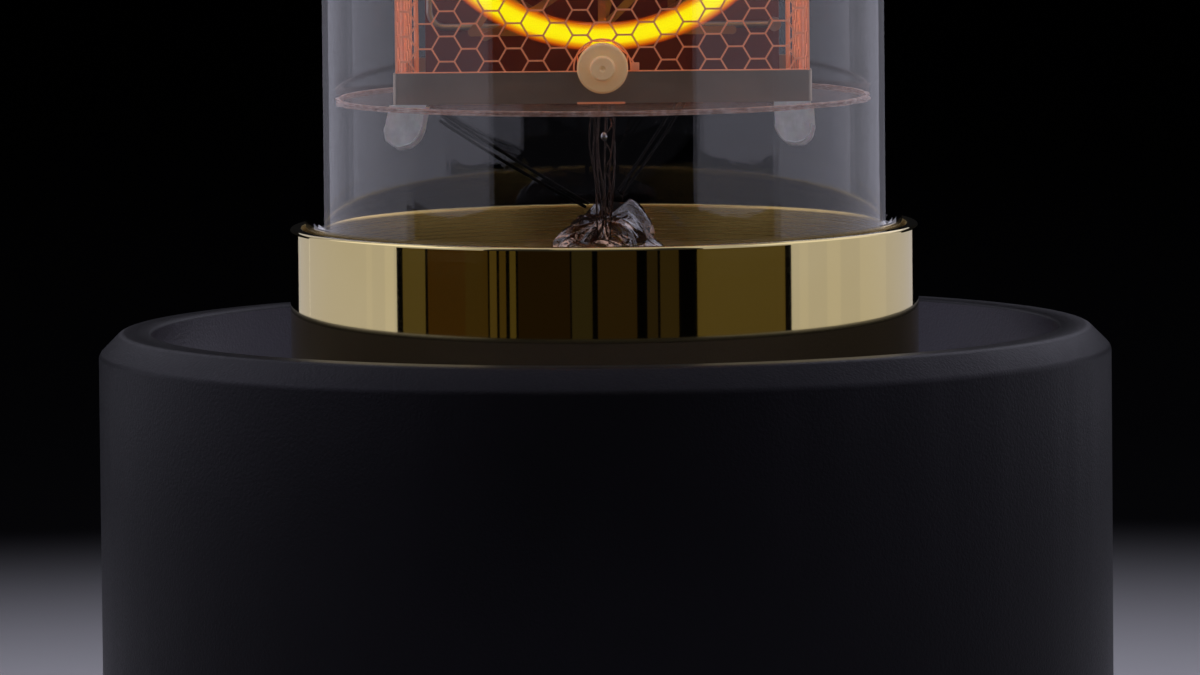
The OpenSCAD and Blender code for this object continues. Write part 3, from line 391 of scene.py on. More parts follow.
finish("gasketRubber", blastGroup, (0.02, 0.02, 0.02), (0.03, 0.03, 0.03), (0.55, 0.8), "collar_gasket",
        bump=0.03, Grain=0.4, Mottle=5.0)
finish("boardGreen", blastGroup, (0.008, 0.05, 0.03), (0.012, 0.07, 0.042), (0.3, 0.45), "main_board",
        "carrier_board", bump=0.015, dust=0.2, Grain=0.9, Mottle=5.0)
finish("phenolicBrown", blastGroup, (0.035, 0.018, 0.01), (0.055, 0.028, 0.015), (0.3, 0.5), "tube_socket",
        "tube_base", bump=0.02, dust=0.2, Grain=0.6, Mottle=5.0)
finish("blackPlastic", blastGroup, (0.012, 0.012, 0.013), (0.02, 0.02, 0.021), (0.35, 0.55), "board_header",
        "switch_bodies", "cell_holder", bump=0.02, dust=0.15, Grain=0.4, Mottle=4.0)
finish("chipPlastic", blastGroup, (0.014, 0.014, 0.015), (0.024, 0.024, 0.025), (0.45, 0.65), "controller_chip",
        "driver_chips", "power_transistor", bump=0.02, dust=0.2, Grain=0.25, Mottle=3.0)
finish("ferriteGrey", blastGroup, (0.05, 0.05, 0.055), (0.075, 0.075, 0.08), (0.45, 0.65), "boost_inductor",
        bump=0.03, Grain=0.35, Mottle=3.0)
finish("sleeveBlue", blastGroup, (0.008, 0.018, 0.06), (0.012, 0.026, 0.085), (0.25, 0.4),
        "reservoir_capacitor", bump=0.01, dust=0.15, Grain=0.8, Mottle=4.0)
leadBrown = finish("leadBrown", drawnGroup, (0.03, 0.018, 0.014), (0.09, 0.055, 0.042), (0.15, 0.35),
        metallic=1.0, bump=0.01, Stretch=(1.0, 1.0, 0.1), Pitch=0.12, Mottle=2.5)
micaPlain = finish("micaPlain", blastGroup, (0.34, 0.22, 0.16), (0.44, 0.32, 0.26), (0.12, 0.3), bump=0.03,
        alpha=(0.05, 0.3), Grain=0.7, Mottle=2.0)
# The salmon colour is painted glow, standing in for the lit digit's orange light on the broken edges; the paler
# shade is the mica's own
micaEdge = finish("micaEdge", blastGroup, (0.50, 0.26, 0.17), (0.72, 0.56, 0.50), (0.2, 0.45), bump=0.05,
        alpha=(0.35, 1.0), Grain=0.4, Mottle=0.8)
micaWhite = finish("micaWhite", drawnGroup, (0.78, 0.77, 0.76), (0.92, 0.91, 0.90), (0.2, 0.45), bump=0.05,
        alpha=(0.8, 1.0), constants={"Subsurface Weight": 0.5, "Subsurface Scale": 0.0008},
        Stretch=(1.0, 1.0, 0.35), Pitch=0.5, Mottle=1.0)
micaSplit = finish("micaSplit", blastGroup, (0.85, 0.84, 0.84), (0.95, 0.94, 0.94), (0.2, 0.4), bump=0.03,
        alpha=(0.3, 1.0), Grain=0.3, Mottle=0.9)
# The faint orange-red emission is painted glow, standing in for the lit digit's light on the net, the corner posts
# and the edging
netCopper = finish("netCopper", drawnGroup, (0.96, 0.40, 0.21), (1.0, 0.50, 0.30), (0.32, 0.5), metallic=0.5,
        bump=0.006, constants={"Emission Color": (1.0, 0.2, 0.06), "Emission Strength": 0.12},
        Stretch=(1.0, 1.0, 0.2), Pitch=0.12, Mottle=3.0)
finish("plateMaroon", drawnGroup, (0.20, 0.06, 0.055), (0.28, 0.09, 0.08), (0.3, 0.5), "back_plate",
        metallic=1.0, bump=0.012, Stretch=(1.0, 1.0, 0.04), Pitch=0.2, Mottle=9.0)
bandNickel = finish("bandNickel", drawnGroup, (0.44, 0.36, 0.28), (0.54, 0.45, 0.36), (0.26, 0.42),
        metallic=1.0, bump=0.006, Stretch=(0.03, 1.0, 1.0), Pitch=0.16, Mottle=6.0)
finish("wireNickel", drawnGroup, (0.36, 0.31, 0.27), (0.5, 0.44, 0.39), (0.22, 0.4), "back_wire", "digit_rods",
        "getter_ring", metallic=1.0, bump=0.006, Stretch=(1.0, 1.0, 0.08), Pitch=0.12, Mottle=3.0)
cageSteel = finish("cageSteel", drawnGroup, (0.004, 0.004, 0.004), (0.008, 0.007, 0.007), (0.5, 0.7), bump=0.01,
        constants={"Specular IOR Level": 0.08}, Stretch=(1.0, 1.0, 0.1), Pitch=0.15, Mottle=3.0)
# The faint orange emission is painted glow, standing in for the lit digit's light on the bushes and spacers
ivoryCeramic = finish("ivoryCeramic", blastGroup, (0.95, 0.73, 0.37), (1.0, 0.81, 0.47), (0.3, 0.5),
        "ceramic_spacers", bump=0.015, Grain=0.6, Mottle=2.5,
        constants={"Subsurface Weight": 0.15, "Subsurface Scale": 0.0006, "Emission Color": (1.0, 0.3, 0.02),
                   "Emission Strength": 0.08})
digitMetal = finish("digitMetal", drawnGroup, (0.40, 0.22, 0.12), (0.52, 0.30, 0.18), (0.28, 0.46),
        *("digit_%d" % n for n in range(1, 10)), metallic=1.0, bump=0.006, Stretch=(1.0, 1.0, 0.1), Pitch=0.14,
        Mottle=4.0)
envelopeGlass = glass("envelopeGlass", (0.995, 0.995, 1.0), 0.004)
stemGlass = glass("stemGlass", (0.46, 0.29, 0.20), 0.003, roughness=0.02, ior=1.5)
dress(stemGlass, "exhaust_tube")


def coreLight(tree):
    cloud = placeGroup(tree, blastGroup, {"Grain": 2.5, "Mottle": 8.0})["Cloud"]
    return mixColour(tree, cloud, (1.0, 0.86, 0.003), (1.0, 0.7568, 0.0021)), 1.0


def haloLight(tree):
    # yellow and full in the middle, red and clear towards its outline
    facing = addNode(tree, "ShaderNodeLayerWeight", {"Blend": 0.5}).outputs["Facing"]
    square = mathStep(tree, "SUBTRACT", 1.0, facing)
    square = mathStep(tree, "MULTIPLY", square, square)
    ramp = addNode(tree, "ShaderNodeValToRGB", {"Fac": square})
    stops = ((0.0, (0.9, 0.05, 0.0)), (0.35, (1.0, 0.17, 0.001)), (0.66, (1.0, 0.44, 0.002)),
             (0.82, (1.0, 0.80, 0.003)), (1.0, (1.0, 0.88, 0.004)))
    while len(ramp.color_ramp.elements) < len(stops):
        ramp.color_ramp.elements.new(0.5)
    for element, (position, colour) in zip(ramp.color_ramp.elements, stops):
        element.position = position
        element.color = (*colour, 1)
    return ramp.outputs["Color"], mathStep(tree, "POWER", square, 1.2)


neonCore = glowing("neonCore", 1.05, coreLight)
neonHalo = glowing("neonHalo", 1.05, haloLight)
print("materials made:", len(bpy.data.materials))


# Shapes
def cleaned(shape, sharpAngle=35):
    # merges, points the faces outwards and sets smooth shading with sharp edges
    bmesh.ops.remove_doubles(shape, verts=shape.verts, dist=1e-7)
    loose = [edge for edge in shape.edges if not edge.link_faces]
    bmesh.ops.delete(shape, geom=loose, context="EDGES")
    bmesh.ops.recalc_face_normals(shape, faces=shape.faces)
    mesh = toMesh(shape)
    mesh.shade_smooth()
    mesh.set_sharp_from_angle(angle=math.radians(sharpAngle))
    return mesh


def fromMesh(mesh):
    shape = bmesh.new()
    shape.from_mesh(mesh)
    bpy.data.meshes.remove(mesh)
    return shape


def turned(outline, segments=240, sharpAngle=35):
    # turns a closed outline of (radius, height) about the Z axis
    shape = bmesh.new()
    rings = []
    for step in range(segments):
        turn = 2 * math.pi * step / segments
        ring = [Vector((r * math.cos(turn), r * math.sin(turn), z)) * mm for r, z in outline]
        rings.append([shape.verts.new(point) for point in ring])
    for step in range(segments):
        here = rings[step]
        there = rings[(step + 1) % segments]
        for i in range(len(outline)):
            j = (i + 1) % len(outline)
            shape.faces.new((here[i], here[j], there[j], there[i]))
    return cleaned(shape, sharpAngle)


def softened(points, radii, steps=5):
    # rounds the corners of a closed outline; a guard point each side keeps the flats' normals true
    guard = 0.04
    outline = []
    for i, radius in enumerate(radii):
        corner = Vector(points[i])
        before = (Vector(points[i - 1]) - corner).normalized()
        after = (Vector(points[(i + 1) % len(points)]) - corner).normalized()
        if radius == 0:
            outline.append(tuple(corner))
            continue
        half = before.angle(after) / 2
        middle = corner + (before + after).normalized() * (radius / math.sin(half))
        first = corner + before * (radius / math.tan(half)) - middle
        last = corner + after * (radius / math.tan(half)) - middle
        outline.append(tuple(middle + first + before * guard))
        for k in range(steps + 1):
            outline.append(tuple(middle + first.lerp(last, k / steps).normalized() * radius))
        outline.append(tuple(middle + last + after * guard))
    return outline


def arcPoints(centre, radius, start, end, steps):
    # points on an arc, angles in degrees
    turns = [math.radians(start + (end - start) * k / steps) for k in range(steps + 1)]
    return [(centre[0] + radius * math.cos(t), centre[1] + radius * math.sin(t)) for t in turns]


def curveMesh(curve):
    # the mesh that a curve draws, with its seams merged
    holder = linked("drawnCurve", curve)
    bpy.context.view_layer.update()
    drawn = holder.evaluated_get(bpy.context.evaluated_depsgraph_get())
    mesh = bpy.data.meshes.new_from_object(drawn)
    bpy.data.objects.remove(holder)
    bpy.data.curves.remove(curve)
    return cleaned(fromMesh(mesh))


def bentWires(paths, radius, closed=False, smooth=True, sides=3):
    curve = bpy.data.curves.new("wires", "CURVE")
    curve.dimensions = "3D"
    curve.bevel_depth = radius * mm
    curve.bevel_resolution = sides
    curve.use_fill_caps = not closed
    curve.resolution_u = 5
    for path in paths:
        spline = curve.splines.new("NURBS" if smooth else "POLY")
        spline.points.add(len(path) - 1)
        for point, place in zip(spline.points, path):
            point.co = (*(Vector(place) * mm), 1)
        spline.use_cyclic_u = closed
        spline.use_endpoint_u = not closed
        spline.order_u = 4
        spline.use_smooth = True
    return curveMesh(curve)


def cutSheet(outlines, thickness, bottom, upright=None):
    # a flat sheet with holes: bottom is the height of its lower face, or upright is where it stands
    curve = bpy.data.curves.new("sheet", "CURVE")
    curve.dimensions = "2D"
    curve.fill_mode = "BOTH"
    curve.extrude = thickness / 2 * mm
    for outline in outlines:
        spline = curve.splines.new("POLY")
        spline.points.add(len(outline) - 1)
        for point, (x, y) in zip(spline.points, outline):
            point.co = (x * mm, y * mm, 0, 1)
        spline.use_cyclic_u = True
    mesh = curveMesh(curve)
    mesh.transform(upright or Matrix.Translation((0, 0, (bottom + thickness / 2) * mm)))
    return mesh


def joined(meshes):
    shape = bmesh.new()
    for mesh in meshes:
        shape.from_mesh(mesh)
        bpy.data.meshes.remove(mesh)
    return toMesh(shape)


def standing(x, y, z):
    # turns a flat outline upright, facing -Y, with its origin at the place
    return Matrix.Translation(Vector((x, y, z)) * mm) @ Matrix.Rotation(math.radians(90), 4, "X")


def piece(name, mesh, material, body, slot, *replaced):
    mesh.name = name
    mesh.materials.clear()
    mesh.materials.append(material)
    made = linked(name, mesh)
    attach(made, body)
    if replaced:
        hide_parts(*replaced)
    return made


def bevelled(made, name, width, segments, limit):
    bevel = made.modifiers.new(name, "BEVEL")
    bevel.width = width * mm
    bevel.segments = segments
    bevel.limit_method = limit
    bevel.harden_normals = True
    return bevel


# The housing's sleeve as it is, with the edges of its outer rim rounded
sleeve = {"outside": 47.0, "above": 30.0, "sharper": 30, "round": 0.38}
shape = bmesh.new()
shape.from_mesh(nodes["housing_sleeve"].data)
shape.transform(nodes["housing_sleeve"].matrix_world)
bmesh.ops.remove_doubles(shape, verts=shape.verts, dist=1e-6)
weights = shape.edges.layers.float.new("bevel_weight_edge")
for edge in shape.edges:
    onRim = all(v.co.xy.length > sleeve["outside"] * mm and v.co.z > sleeve["above"] * mm for v in edge.verts)
    if onRim and len(edge.link_faces) == 2 and edge.calc_face_angle() > math.radians(sleeve["sharper"]):
        edge[weights] = 1
shell = piece("housingShell", cleaned(shape), housingBlack, "housing", "housing_anodised", "housing_sleeve")
bevelled(shell, "rimRound", sleeve["round"], 4, "WEIGHT").use_clamp_overlap = False

# Brass collar with a rounded lip and a foot flange that points inwards
collar = {"outer": 31.4, "inner": 30.1, "bottom": 41.0, "top": 62.3, "flangeIn": 27.0, "flangeTop": 43.5,
          "lip": 0.32}
collarOutline = softened(
    [(collar["flangeIn"], collar["bottom"]), (collar["outer"], collar["bottom"]), (collar["outer"], collar["top"]),
     (collar["inner"], collar["top"]), (collar["inner"], collar["flangeTop"]),
     (collar["flangeIn"], collar["flangeTop"])],
    [0.1, 0.2, collar["lip"], collar["lip"], 0.3, 0.3], steps=7)
piece("brassCollar", turned(collarOutline, 360), mirrorBrass, "housing", "polished_brass", "brass_collar")

# Glass envelope: straight wall, soft shoulder, flat dome
envelope = {"radius": 29.8, "wall": 1.8, "bottom": 48.5, "lipIn": 24.0, "footOut": 0.9, "footIn": 0.8,
            "shoulderZ": 142.4, "shoulderR": 17.0, "crownR": 48.0}


def domeArc(inset, steps):
    # shoulder and crown arcs from the wall up to the axis
    shoulder = envelope["shoulderR"] - inset
    crown = envelope["crownR"] - inset
    out = envelope["radius"] - envelope["shoulderR"]
    crownZ = envelope["shoulderZ"] - math.sqrt((envelope["crownR"] - envelope["shoulderR"]) ** 2 - out ** 2)
    lean = math.degrees(math.atan2(envelope["shoulderZ"] - crownZ, out))
    side = arcPoints((out, envelope["shoulderZ"]), shoulder, 0, lean, steps)
    return side + arcPoints((0, crownZ), crown, lean, 90, steps)[1:]


wallFoot = envelope["bottom"]
wallR = envelope["radius"]
innerR = wallR - envelope["wall"]
innerFoot = wallFoot + envelope["wall"]
footOut, footIn = envelope["footOut"], envelope["footIn"]
straight = (wallFoot + 3, wallFoot + 25, wallFoot + 60, envelope["shoulderZ"] - 0.2)
outerSide = [(envelope["lipIn"], wallFoot)] + arcPoints((wallR - footOut, wallFoot + footOut), footOut, -90, 0, 5)
outerSide += [(wallR, z) for z in straight] + domeArc(0, 20)
innerSide = domeArc(envelope["wall"], 20)[::-1] + [(innerR, z) for z in reversed(straight)]
innerSide += arcPoints((innerR - footIn, innerFoot + footIn), footIn, 0, -90, 5) + [(envelope["lipIn"], innerFoot)]
piece("glassEnvelope", turned(outerSide + innerSide, 240, 50), envelopeGlass, "tube", "envelope_glass",
      "glass_envelope")
print("collar and envelope turned")

# Stem: flare fused to the envelope's foot, then a lumpy press, flattened front to back
stem = {"lip": 23.9, "foot": 48.5, "wall": 1.8, "neck": 8.5, "flare": 7.0, "pressTop": 64.6, "halfLength": 11.2,
        "halfWidth": 4.0, "turn": -10.5, "ripple": 0.36, "slope": 0.15, "levels": 16, "crowding": 1.4,
        "waist": 0.6, "widen": 11.25, "shorten": 6.75, "topWidth": 0.35, "topLength": 0.8, "squareness": 2.6,
        "plug": ((4.5, 0.6), (2.0, 0.9))}


def stemRings():
    # rings of (width, length, height, roughness): from the top of the press down the outside, round the lip
    # and up the inside; below the waist the press gets round
    rings = []
    bottom = stem["foot"] + stem["wall"] + stem["flare"]
    for k in range(stem["levels"] + 1):
        share = k / stem["levels"]
        z = stem["pressTop"] - (stem["pressTop"] - bottom) * share ** stem["crowding"]
        swell = math.sin(min(1.0, 0.12 + share * 1.5) * math.pi / 2)
        below = share - stem["waist"]
        if below < 0:
            width = stem["halfWidth"] * (stem["topWidth"] + (1 - stem["topWidth"]) * swell)
            length = stem["halfLength"] * (stem["topLength"] + (1 - stem["topLength"]) * swell)
        else:
            width = stem["halfWidth"] + below * stem["widen"]
            length = stem["halfLength"] - below * stem["shorten"]
        rings.append((width, length, z, 1 - share))
    centre = (stem["neck"] + stem["flare"], bottom)
    rings += [(r, r, z, 0) for r, z in arcPoints(centre, stem["flare"], 180, 270, 8)[1:]]
    rings += [(stem["lip"], stem["lip"], z, 0) for z in (stem["foot"] + stem["wall"], stem["foot"])]
    rings += [(r, r, z, 0) for r, z in arcPoints(centre, stem["flare"] + stem["wall"], 270, 180, 8)]
    rings += [(r, r, bottom + rise, 0) for r, rise in stem["plug"]]
    return rings


def stemMesh(sides=128):
    shape = bmesh.new()
    turn = math.radians(stem["turn"])
    rows = []
    for width, length, z, rough in stemRings():
        row = []
        for k in range(sides):
            angle = 2 * math.pi * k / sides
            squash = 2.0 if width == length else stem["squareness"]
            c, s = math.cos(angle), math.sin(angle)
            x = width * math.copysign(abs(c) ** (2 / squash), c)
            y = length * math.copysign(abs(s) ** (2 / squash), s)
            ribs = noise.noise(Vector((x * 0.16, y * 0.75, z * 0.22)))
            ribs += 0.15 * noise.noise(Vector((x * 0.5, y * 1.5, z * 0.6)))
            swell = 1 + rough ** 0.6 * stem["ripple"] * ribs
            lift = rough * 1.2 * noise.noise(Vector((x * 0.4, y * 0.35, 3.1)))
            lift += rough * stem["slope"] * (y - stem["halfLength"])
            point = Vector((x * swell, y * (1 + (swell - 1) * 0.25), z + min(0, lift)))
            point.rotate(Quaternion((0, 0, 1), turn))
            row.append(shape.verts.new(point * mm))
        rows.append(row)
    for upper, lower in zip(rows, rows[1:]):
        for k in range(sides):
            j = (k + 1) % sides
            shape.faces.new((upper[k], upper[j], lower[j], lower[k]))
    for row in (rows[0], rows[-1]):
        middle = shape.verts.new(sum((v.co for v in row), Vector()) / sides)
        for k in range(sides):
            shape.faces.new((row[k], row[(k + 1) % sides], middle))
    return cleaned(shape, 80)


piece("glassStem", stemMesh(), stemGlass, "tube", "stem_glass", "glass_stem")

# Leads from the press to the lower mica, and the stout pair that carries the cage
leads = {"from": 61.4, "to": 76.3, "radius": 0.085, "wander": 0.45, "spread": 1.05, "rows": 10, "pitch": 2.0}
twist = {"y": -7.2, "from": 63.6, "to": 74.4, "halfTurns": 7, "x": 0.5, "swing": (0.45, 0.4), "steps": 24}
leadPaths = []
for row in range(leads["rows"]):
    y = (row - (leads["rows"] - 1) / 2) * leads["pitch"]
    path = []
    for k in range(9):
        share = k / 8
        away = math.sin(share * math.pi) * leads["wander"]
        driftX = noise.noise(Vector((row * 1.7, share * 2.6, 0.3)))
        driftY = noise.noise(Vector((row * 1.3, share * 2.2, 5.1)))
        x = leads["spread"] * ((row * 3 % 4) / 1.5 - 1) * (0.6 + 0.4 * share) + away * driftX * 2.2
        path.append((x, y + away * driftY, leads["from"] + (leads["to"] - leads["from"]) * share))
    leadPaths.append(path)
twistPath = []
for k in range(twist["steps"] + 1):
    share = k / twist["steps"]
    turn = share * twist["halfTurns"] * math.pi
    twistPath.append((twist["x"] + twist["swing"][0] * math.cos(turn) * (0.3 + 0.7 * share),
                      twist["y"] + twist["swing"][1] * math.sin(turn),
                      twist["from"] + (twist["to"] - twist["from"]) * share))
leadPaths.append(twistPath)
piece("stemLeads", bentWires(leadPaths, leads["radius"]), leadBrown, "tube", "lead_wire", "stem_leads")
bead = {"radius": 0.34, "stretch": (1, 1, 1.35, 1), "place": (0.1, -7.4, 71.6)}
beadMesh = turned(arcPoints((0, 0), bead["radius"], -90, 90, 8), 24)
beadMesh.transform(Matrix.Translation(Vector(bead["place"]) * mm) @ Matrix.Diagonal(bead["stretch"]))
piece("leadBead", beadMesh, brightSteel, "tube", "bright_steel")

supports = {"radius": 0.16, "gap": 0.75, "reach": 9.1, "footZ": 64.9, "topZ": 74.3,
            "tops": ((1, (-15.5, -18.2)), (-1, (8.6, 18.2))), "footShare": 0.6, "middleShare": 1.1, "sag": 0.5}
supportPaths = []
footTurn = math.radians(stem["turn"])
for side, top in supports["tops"]:
    reach = side * supports["reach"]
    foot = Vector((reach * math.sin(footTurn), -reach * math.cos(footTurn), supports["footZ"]))
    head = Vector((*top, supports["topZ"]))
    across = (head - foot).cross(Vector((0, 1, 0.2))).normalized() * supports["gap"] / 2
    for way in (-1, 1):
        middle = (foot + head) / 2 + across * way * supports["middleShare"] - Vector((0, 0, supports["sag"]))
        supportPaths.append([foot + across * way * supports["footShare"], middle, head + across * way])
piece("supportWires", bentWires(supportPaths, supports["radius"]), cageSteel, "tube", "nickel_wire",
      "support_wires")
print("stem, leads and supports made")

# Mica discs: thin leaves with a broken edge
mica = {"slot": (2.4, 20.4), "rim": 0.9, "leaves": 3, "leaf": 0.14, "step": 0.18, "disc": 0.36, "discUp": 0.07,
        "hole": 0.55, "posts": ((19.35, -12.4), (19.0, 11.8)), "lower": (26.75, 74.8), "upper": (27.4, 139.9),
        "stagger": 0.12, "overlap": 0.3, "flakes": (0.4, -0.35)}


def brokenCircle(radius, seed, depth, count=360):
    # a circle with flakes off its edge; a negative depth breaks it outwards
    outline = []
    for k in range(count):
        turn = 2 * math.pi * k / count
        c, s = math.cos(turn), math.sin(turn)
        flake = noise.noise(Vector((c * 9, s * 9, seed))) + 0.7 * noise.noise(Vector((c * 38, s * 38, seed + 4)))
        r = radius - depth * max(0.0, 0.25 + flake)
        outline.append((r * c, r * s))
    return outline


def roundHole(x, y, radius, count=16):
    return arcPoints((x, y), radius, 0, 360 - 360 / count, count - 1)


def micaDisc(radius, bottom):
    slotX, slotY = (side / 2 for side in mica["slot"])
    holes = [[(-slotX, -slotY), (slotX, -slotY), (slotX, slotY), (-slotX, slotY)]]
    for x, y in mica["posts"]:
        holes += [roundHole(x, y, mica["hole"]), roundHole(-x, y, mica["hole"])]
    rim = roundHole(0, 0, radius - mica["rim"], 180)
    return cutSheet([rim] + holes, mica["disc"], bottom + mica["discUp"])


def micaRim(radius, bottom, seed):
    leaves = []
    for leaf in range(mica["leaves"]):
        outside = brokenCircle(radius - mica["stagger"] * (leaf % 2), seed + leaf * 3.7, mica["flakes"][0])
        inside = brokenCircle(radius - mica["rim"] + mica["overlap"], seed + leaf * 2.9, mica["flakes"][1])
        leaves.append(cutSheet([outside, inside], mica["leaf"], bottom + leaf * mica["step"]))
    return joined(leaves)


for side in ("lower", "upper"):
    radius, bottom = mica[side]
    piece(side + "Mica", micaDisc(radius, bottom), micaPlain, "tube", "mica", side + "_mica")
    piece(side + "MicaRim", micaRim(radius, bottom, radius * 3), micaEdge, "tube", "mica")

# Doubled half oval lugs under the front corners of the box
lugs = {"width": 3.5, "top": 75.3, "bottom": 71.1, "leaf": 0.32, "gap": 0.22, "front": -13.7, "aside": 0.3,
        "drop": 0.25, "rim": 0.09, "taller": 1.15, "wobble": 0.07, "each": ((-18.9, 0.2), (18.4, -0.04))}


def lugOutline(lean, seed):
    half = lugs["width"] / 2
    tall = half * lugs["taller"]
    outline = [(half, 0.0)]
    for k in range(29):
        turn = math.radians(-180 * k / 28)
        wobble = 1 + lugs["wobble"] * noise.noise(Vector((math.cos(turn) * 3, math.sin(turn) * 3, seed)))
        z = -(lugs["top"] - lugs["bottom"] - tall) + tall * math.sin(turn) * wobble
        outline.append((half * math.cos(turn) * wobble + lean * z, z))
    outline.append((-half, 0.0))
    return outline


lugLeaves = []
lugWires = []
for x, lean in lugs["each"]:
    for leaf in range(2):
        leafX, leafZ = x + leaf * lugs["aside"], lugs["top"] - leaf * lugs["drop"]
        leafY = lugs["front"] + leaf * (lugs["leaf"] + lugs["gap"]) + lugs["leaf"] / 2
        outline = lugOutline(lean, leaf * 5 + x)
        lugLeaves.append(cutSheet([outline], lugs["leaf"], 0, standing(leafX, leafY, leafZ)))
        # the rim lies just inside the front face's outline
        lugWires.append([(leafX + u * 0.97, leafY - lugs["leaf"] / 2, leafZ + w * 0.98) for u, w in outline[1:-1]])
piece("micaLugs", joined(lugLeaves), micaWhite, "tube", "mica_white", "mica_tabs")
lugRims = bentWires(lugWires, lugs["rim"], smooth=False, sides=2)
piece("micaLugRims", lugRims, micaSplit, "tube", "mica_white")
print("mica cut")


# Geometry Nodes: flat honeycomb net for the three open sides of the anode
def netTree():
    tree = bpy.data.node_groups.new("honeycombNet", "GeometryNodeTree")

    def add(kind, inputs=None, **settings):
        return addNode(tree, kind, inputs, **settings).outputs[0]

    def step(operation, *values):
        return mathStep(tree, operation, *values)

    def vector(operation, *values, **more):
        return vectorStep(tree, operation, *values, **more)

    face = tree.interface
    face.new_socket("Geometry", in_out="OUTPUT", socket_type="NodeSocketGeometry")
    sockets = {"Float": ("Width", "Height", "Column pitch", "Row pitch", "Row shift", "Wire", "Thickness",
                         "Ring radius"),
               "Vector": ("Lower bush", "Upper bush", "Place"), "Rotation": ("Turn",), "Material": ("Material",)}
    for kind, labels in sockets.items():
        for label in labels:
            face.new_socket(label, in_out="INPUT", socket_type="NodeSocket" + kind)
    given = addNode(tree, "NodeGroupInput").outputs
    halfWidth, halfHeight = (step("MULTIPLY", given[label], 0.5) for label in ("Width", "Height"))

    def linesFor(half, pitch):
        # an odd count of lines that reaches past both edges, and the length they take
        half = step("ADD", step("CEIL", step("DIVIDE", half, pitch)), 2.0)
        return step("MULTIPLY_ADD", half, 2.0, 1.0), step("MULTIPLY", step("MULTIPLY", half, 2.0), pitch)

    columns, gridWidth = linesFor(halfWidth, given["Column pitch"])
    rows, gridHeight = linesFor(halfHeight, given["Row pitch"])
    grid = add("GeometryNodeMeshGrid", {"Vertices X": columns, "Vertices Y": rows, "Size X": gridWidth,
                                        "Size Y": gridHeight})

    # every second column moves up by half a cell
    where = add("GeometryNodeInputPosition")
    column = step("ROUND", step("DIVIDE", add("ShaderNodeSeparateXYZ", {0: where}), given["Column pitch"]))
    odd = step("MODULO", step("ABSOLUTE", column), 2.0)
    lift = step("MULTIPLY", step("MULTIPLY", odd, 0.5), given["Row pitch"])
    lift = add("ShaderNodeCombineXYZ", {"Y": step("ADD", lift, given["Row shift"])})
    shifted = add("GeometryNodeSetPosition", {"Geometry": grid, "Offset": lift})
    cells = add("GeometryNodeDualMesh", {"Mesh": add("GeometryNodeTriangulate", {0: shifted})})

    # cells that cross an edge end on it
    high = add("ShaderNodeCombineXYZ", {"X": halfWidth, "Y": halfHeight})
    low = vector("SCALE", high, Scale=-1)
    inside = vector("MINIMUM", vector("MAXIMUM", where, low), high)
    net = add("GeometryNodeSetPosition", {"Geometry": cells, "Position": inside})

    # and those that cross a bush's ring end on the ring
    for label in ("Lower bush", "Upper bush"):
        away = vector("SUBTRACT", where, given[label])
        within = step("LESS_THAN", vector("LENGTH", away, output="Value"), given["Ring radius"])
        onRing = vector("SCALE", vector("NORMALIZE", away), Scale=given["Ring radius"])
        net = add("GeometryNodeSetPosition", {"Geometry": net, "Selection": within,
                                              "Position": vector("ADD", onRing, given[label])})
    merged = add("GeometryNodeMergeByDistance", {"Geometry": net, "Distance": 0.02 * mm})

    # each cell's hole leaves half a wire along its edges
    rims = {"Mesh": merged, "Offset Scale": 0, "Individual": True}
    rims = addNode(tree, "GeometryNodeExtrudeMesh", rims).outputs
    hexagonShare = 2 * math.sqrt(3)
    across = step("SQRT", step("DIVIDE", add("GeometryNodeInputMeshFaceArea"), hexagonShare))
    share = step("SUBTRACT", 1.0, step("DIVIDE", step("MULTIPLY", given["Wire"], 0.5), across))
    holes = add("GeometryNodeScaleElements", {"Geometry": rims["Mesh"], "Selection": rims["Top"],
                                              "Scale": step("MAXIMUM", share, 0.06)})
    flat = add("GeometryNodeDeleteGeometry", {"Geometry": holes, "Selection": rims["Top"]}, domain="FACE")

    # the sheet's thickness
    front = add("GeometryNodeExtrudeMesh", {"Mesh": flat, "Offset Scale": given["Thickness"], "Individual": False})
    both = addNode(tree, "GeometryNodeJoinGeometry", {0: front})
    feed(tree, both, {0: add("GeometryNodeFlipFaces", {0: flat})})
    closed = add("GeometryNodeMergeByDistance", {"Geometry": both.outputs[0], "Distance": 0.001 * mm})
    stood = add("GeometryNodeTransform", {"Geometry": closed, "Translation": given["Place"],
                                          "Rotation": given["Turn"]})
    real = add("GeometryNodeRealizeInstances", {0: stood})
    painted = add("GeometryNodeSetMaterial", {"Geometry": real, "Material": given["Material"]})
    addNode(tree, "NodeGroupOutput", {0: painted})
    return tree


def fromTree(tree, values):
    # runs a Geometry Nodes tree on an empty mesh and keeps the result as a plain mesh
    holder = linked("netMaker", bpy.data.meshes.new("netStart"))
    maker = holder.modifiers.new("net", "NODES")
    maker.node_group = tree
    for item in tree.interface.items_tree:
        if item.in_out == "INPUT" and item.name in values:
            maker[item.identifier] = values[item.name]
    bpy.context.view_layer.update()
    made = bpy.data.meshes.new_from_object(holder.evaluated_get(bpy.context.evaluated_depsgraph_get()))
    holder.modifiers.remove(maker)
    bpy.data.objects.remove(holder)
    return made


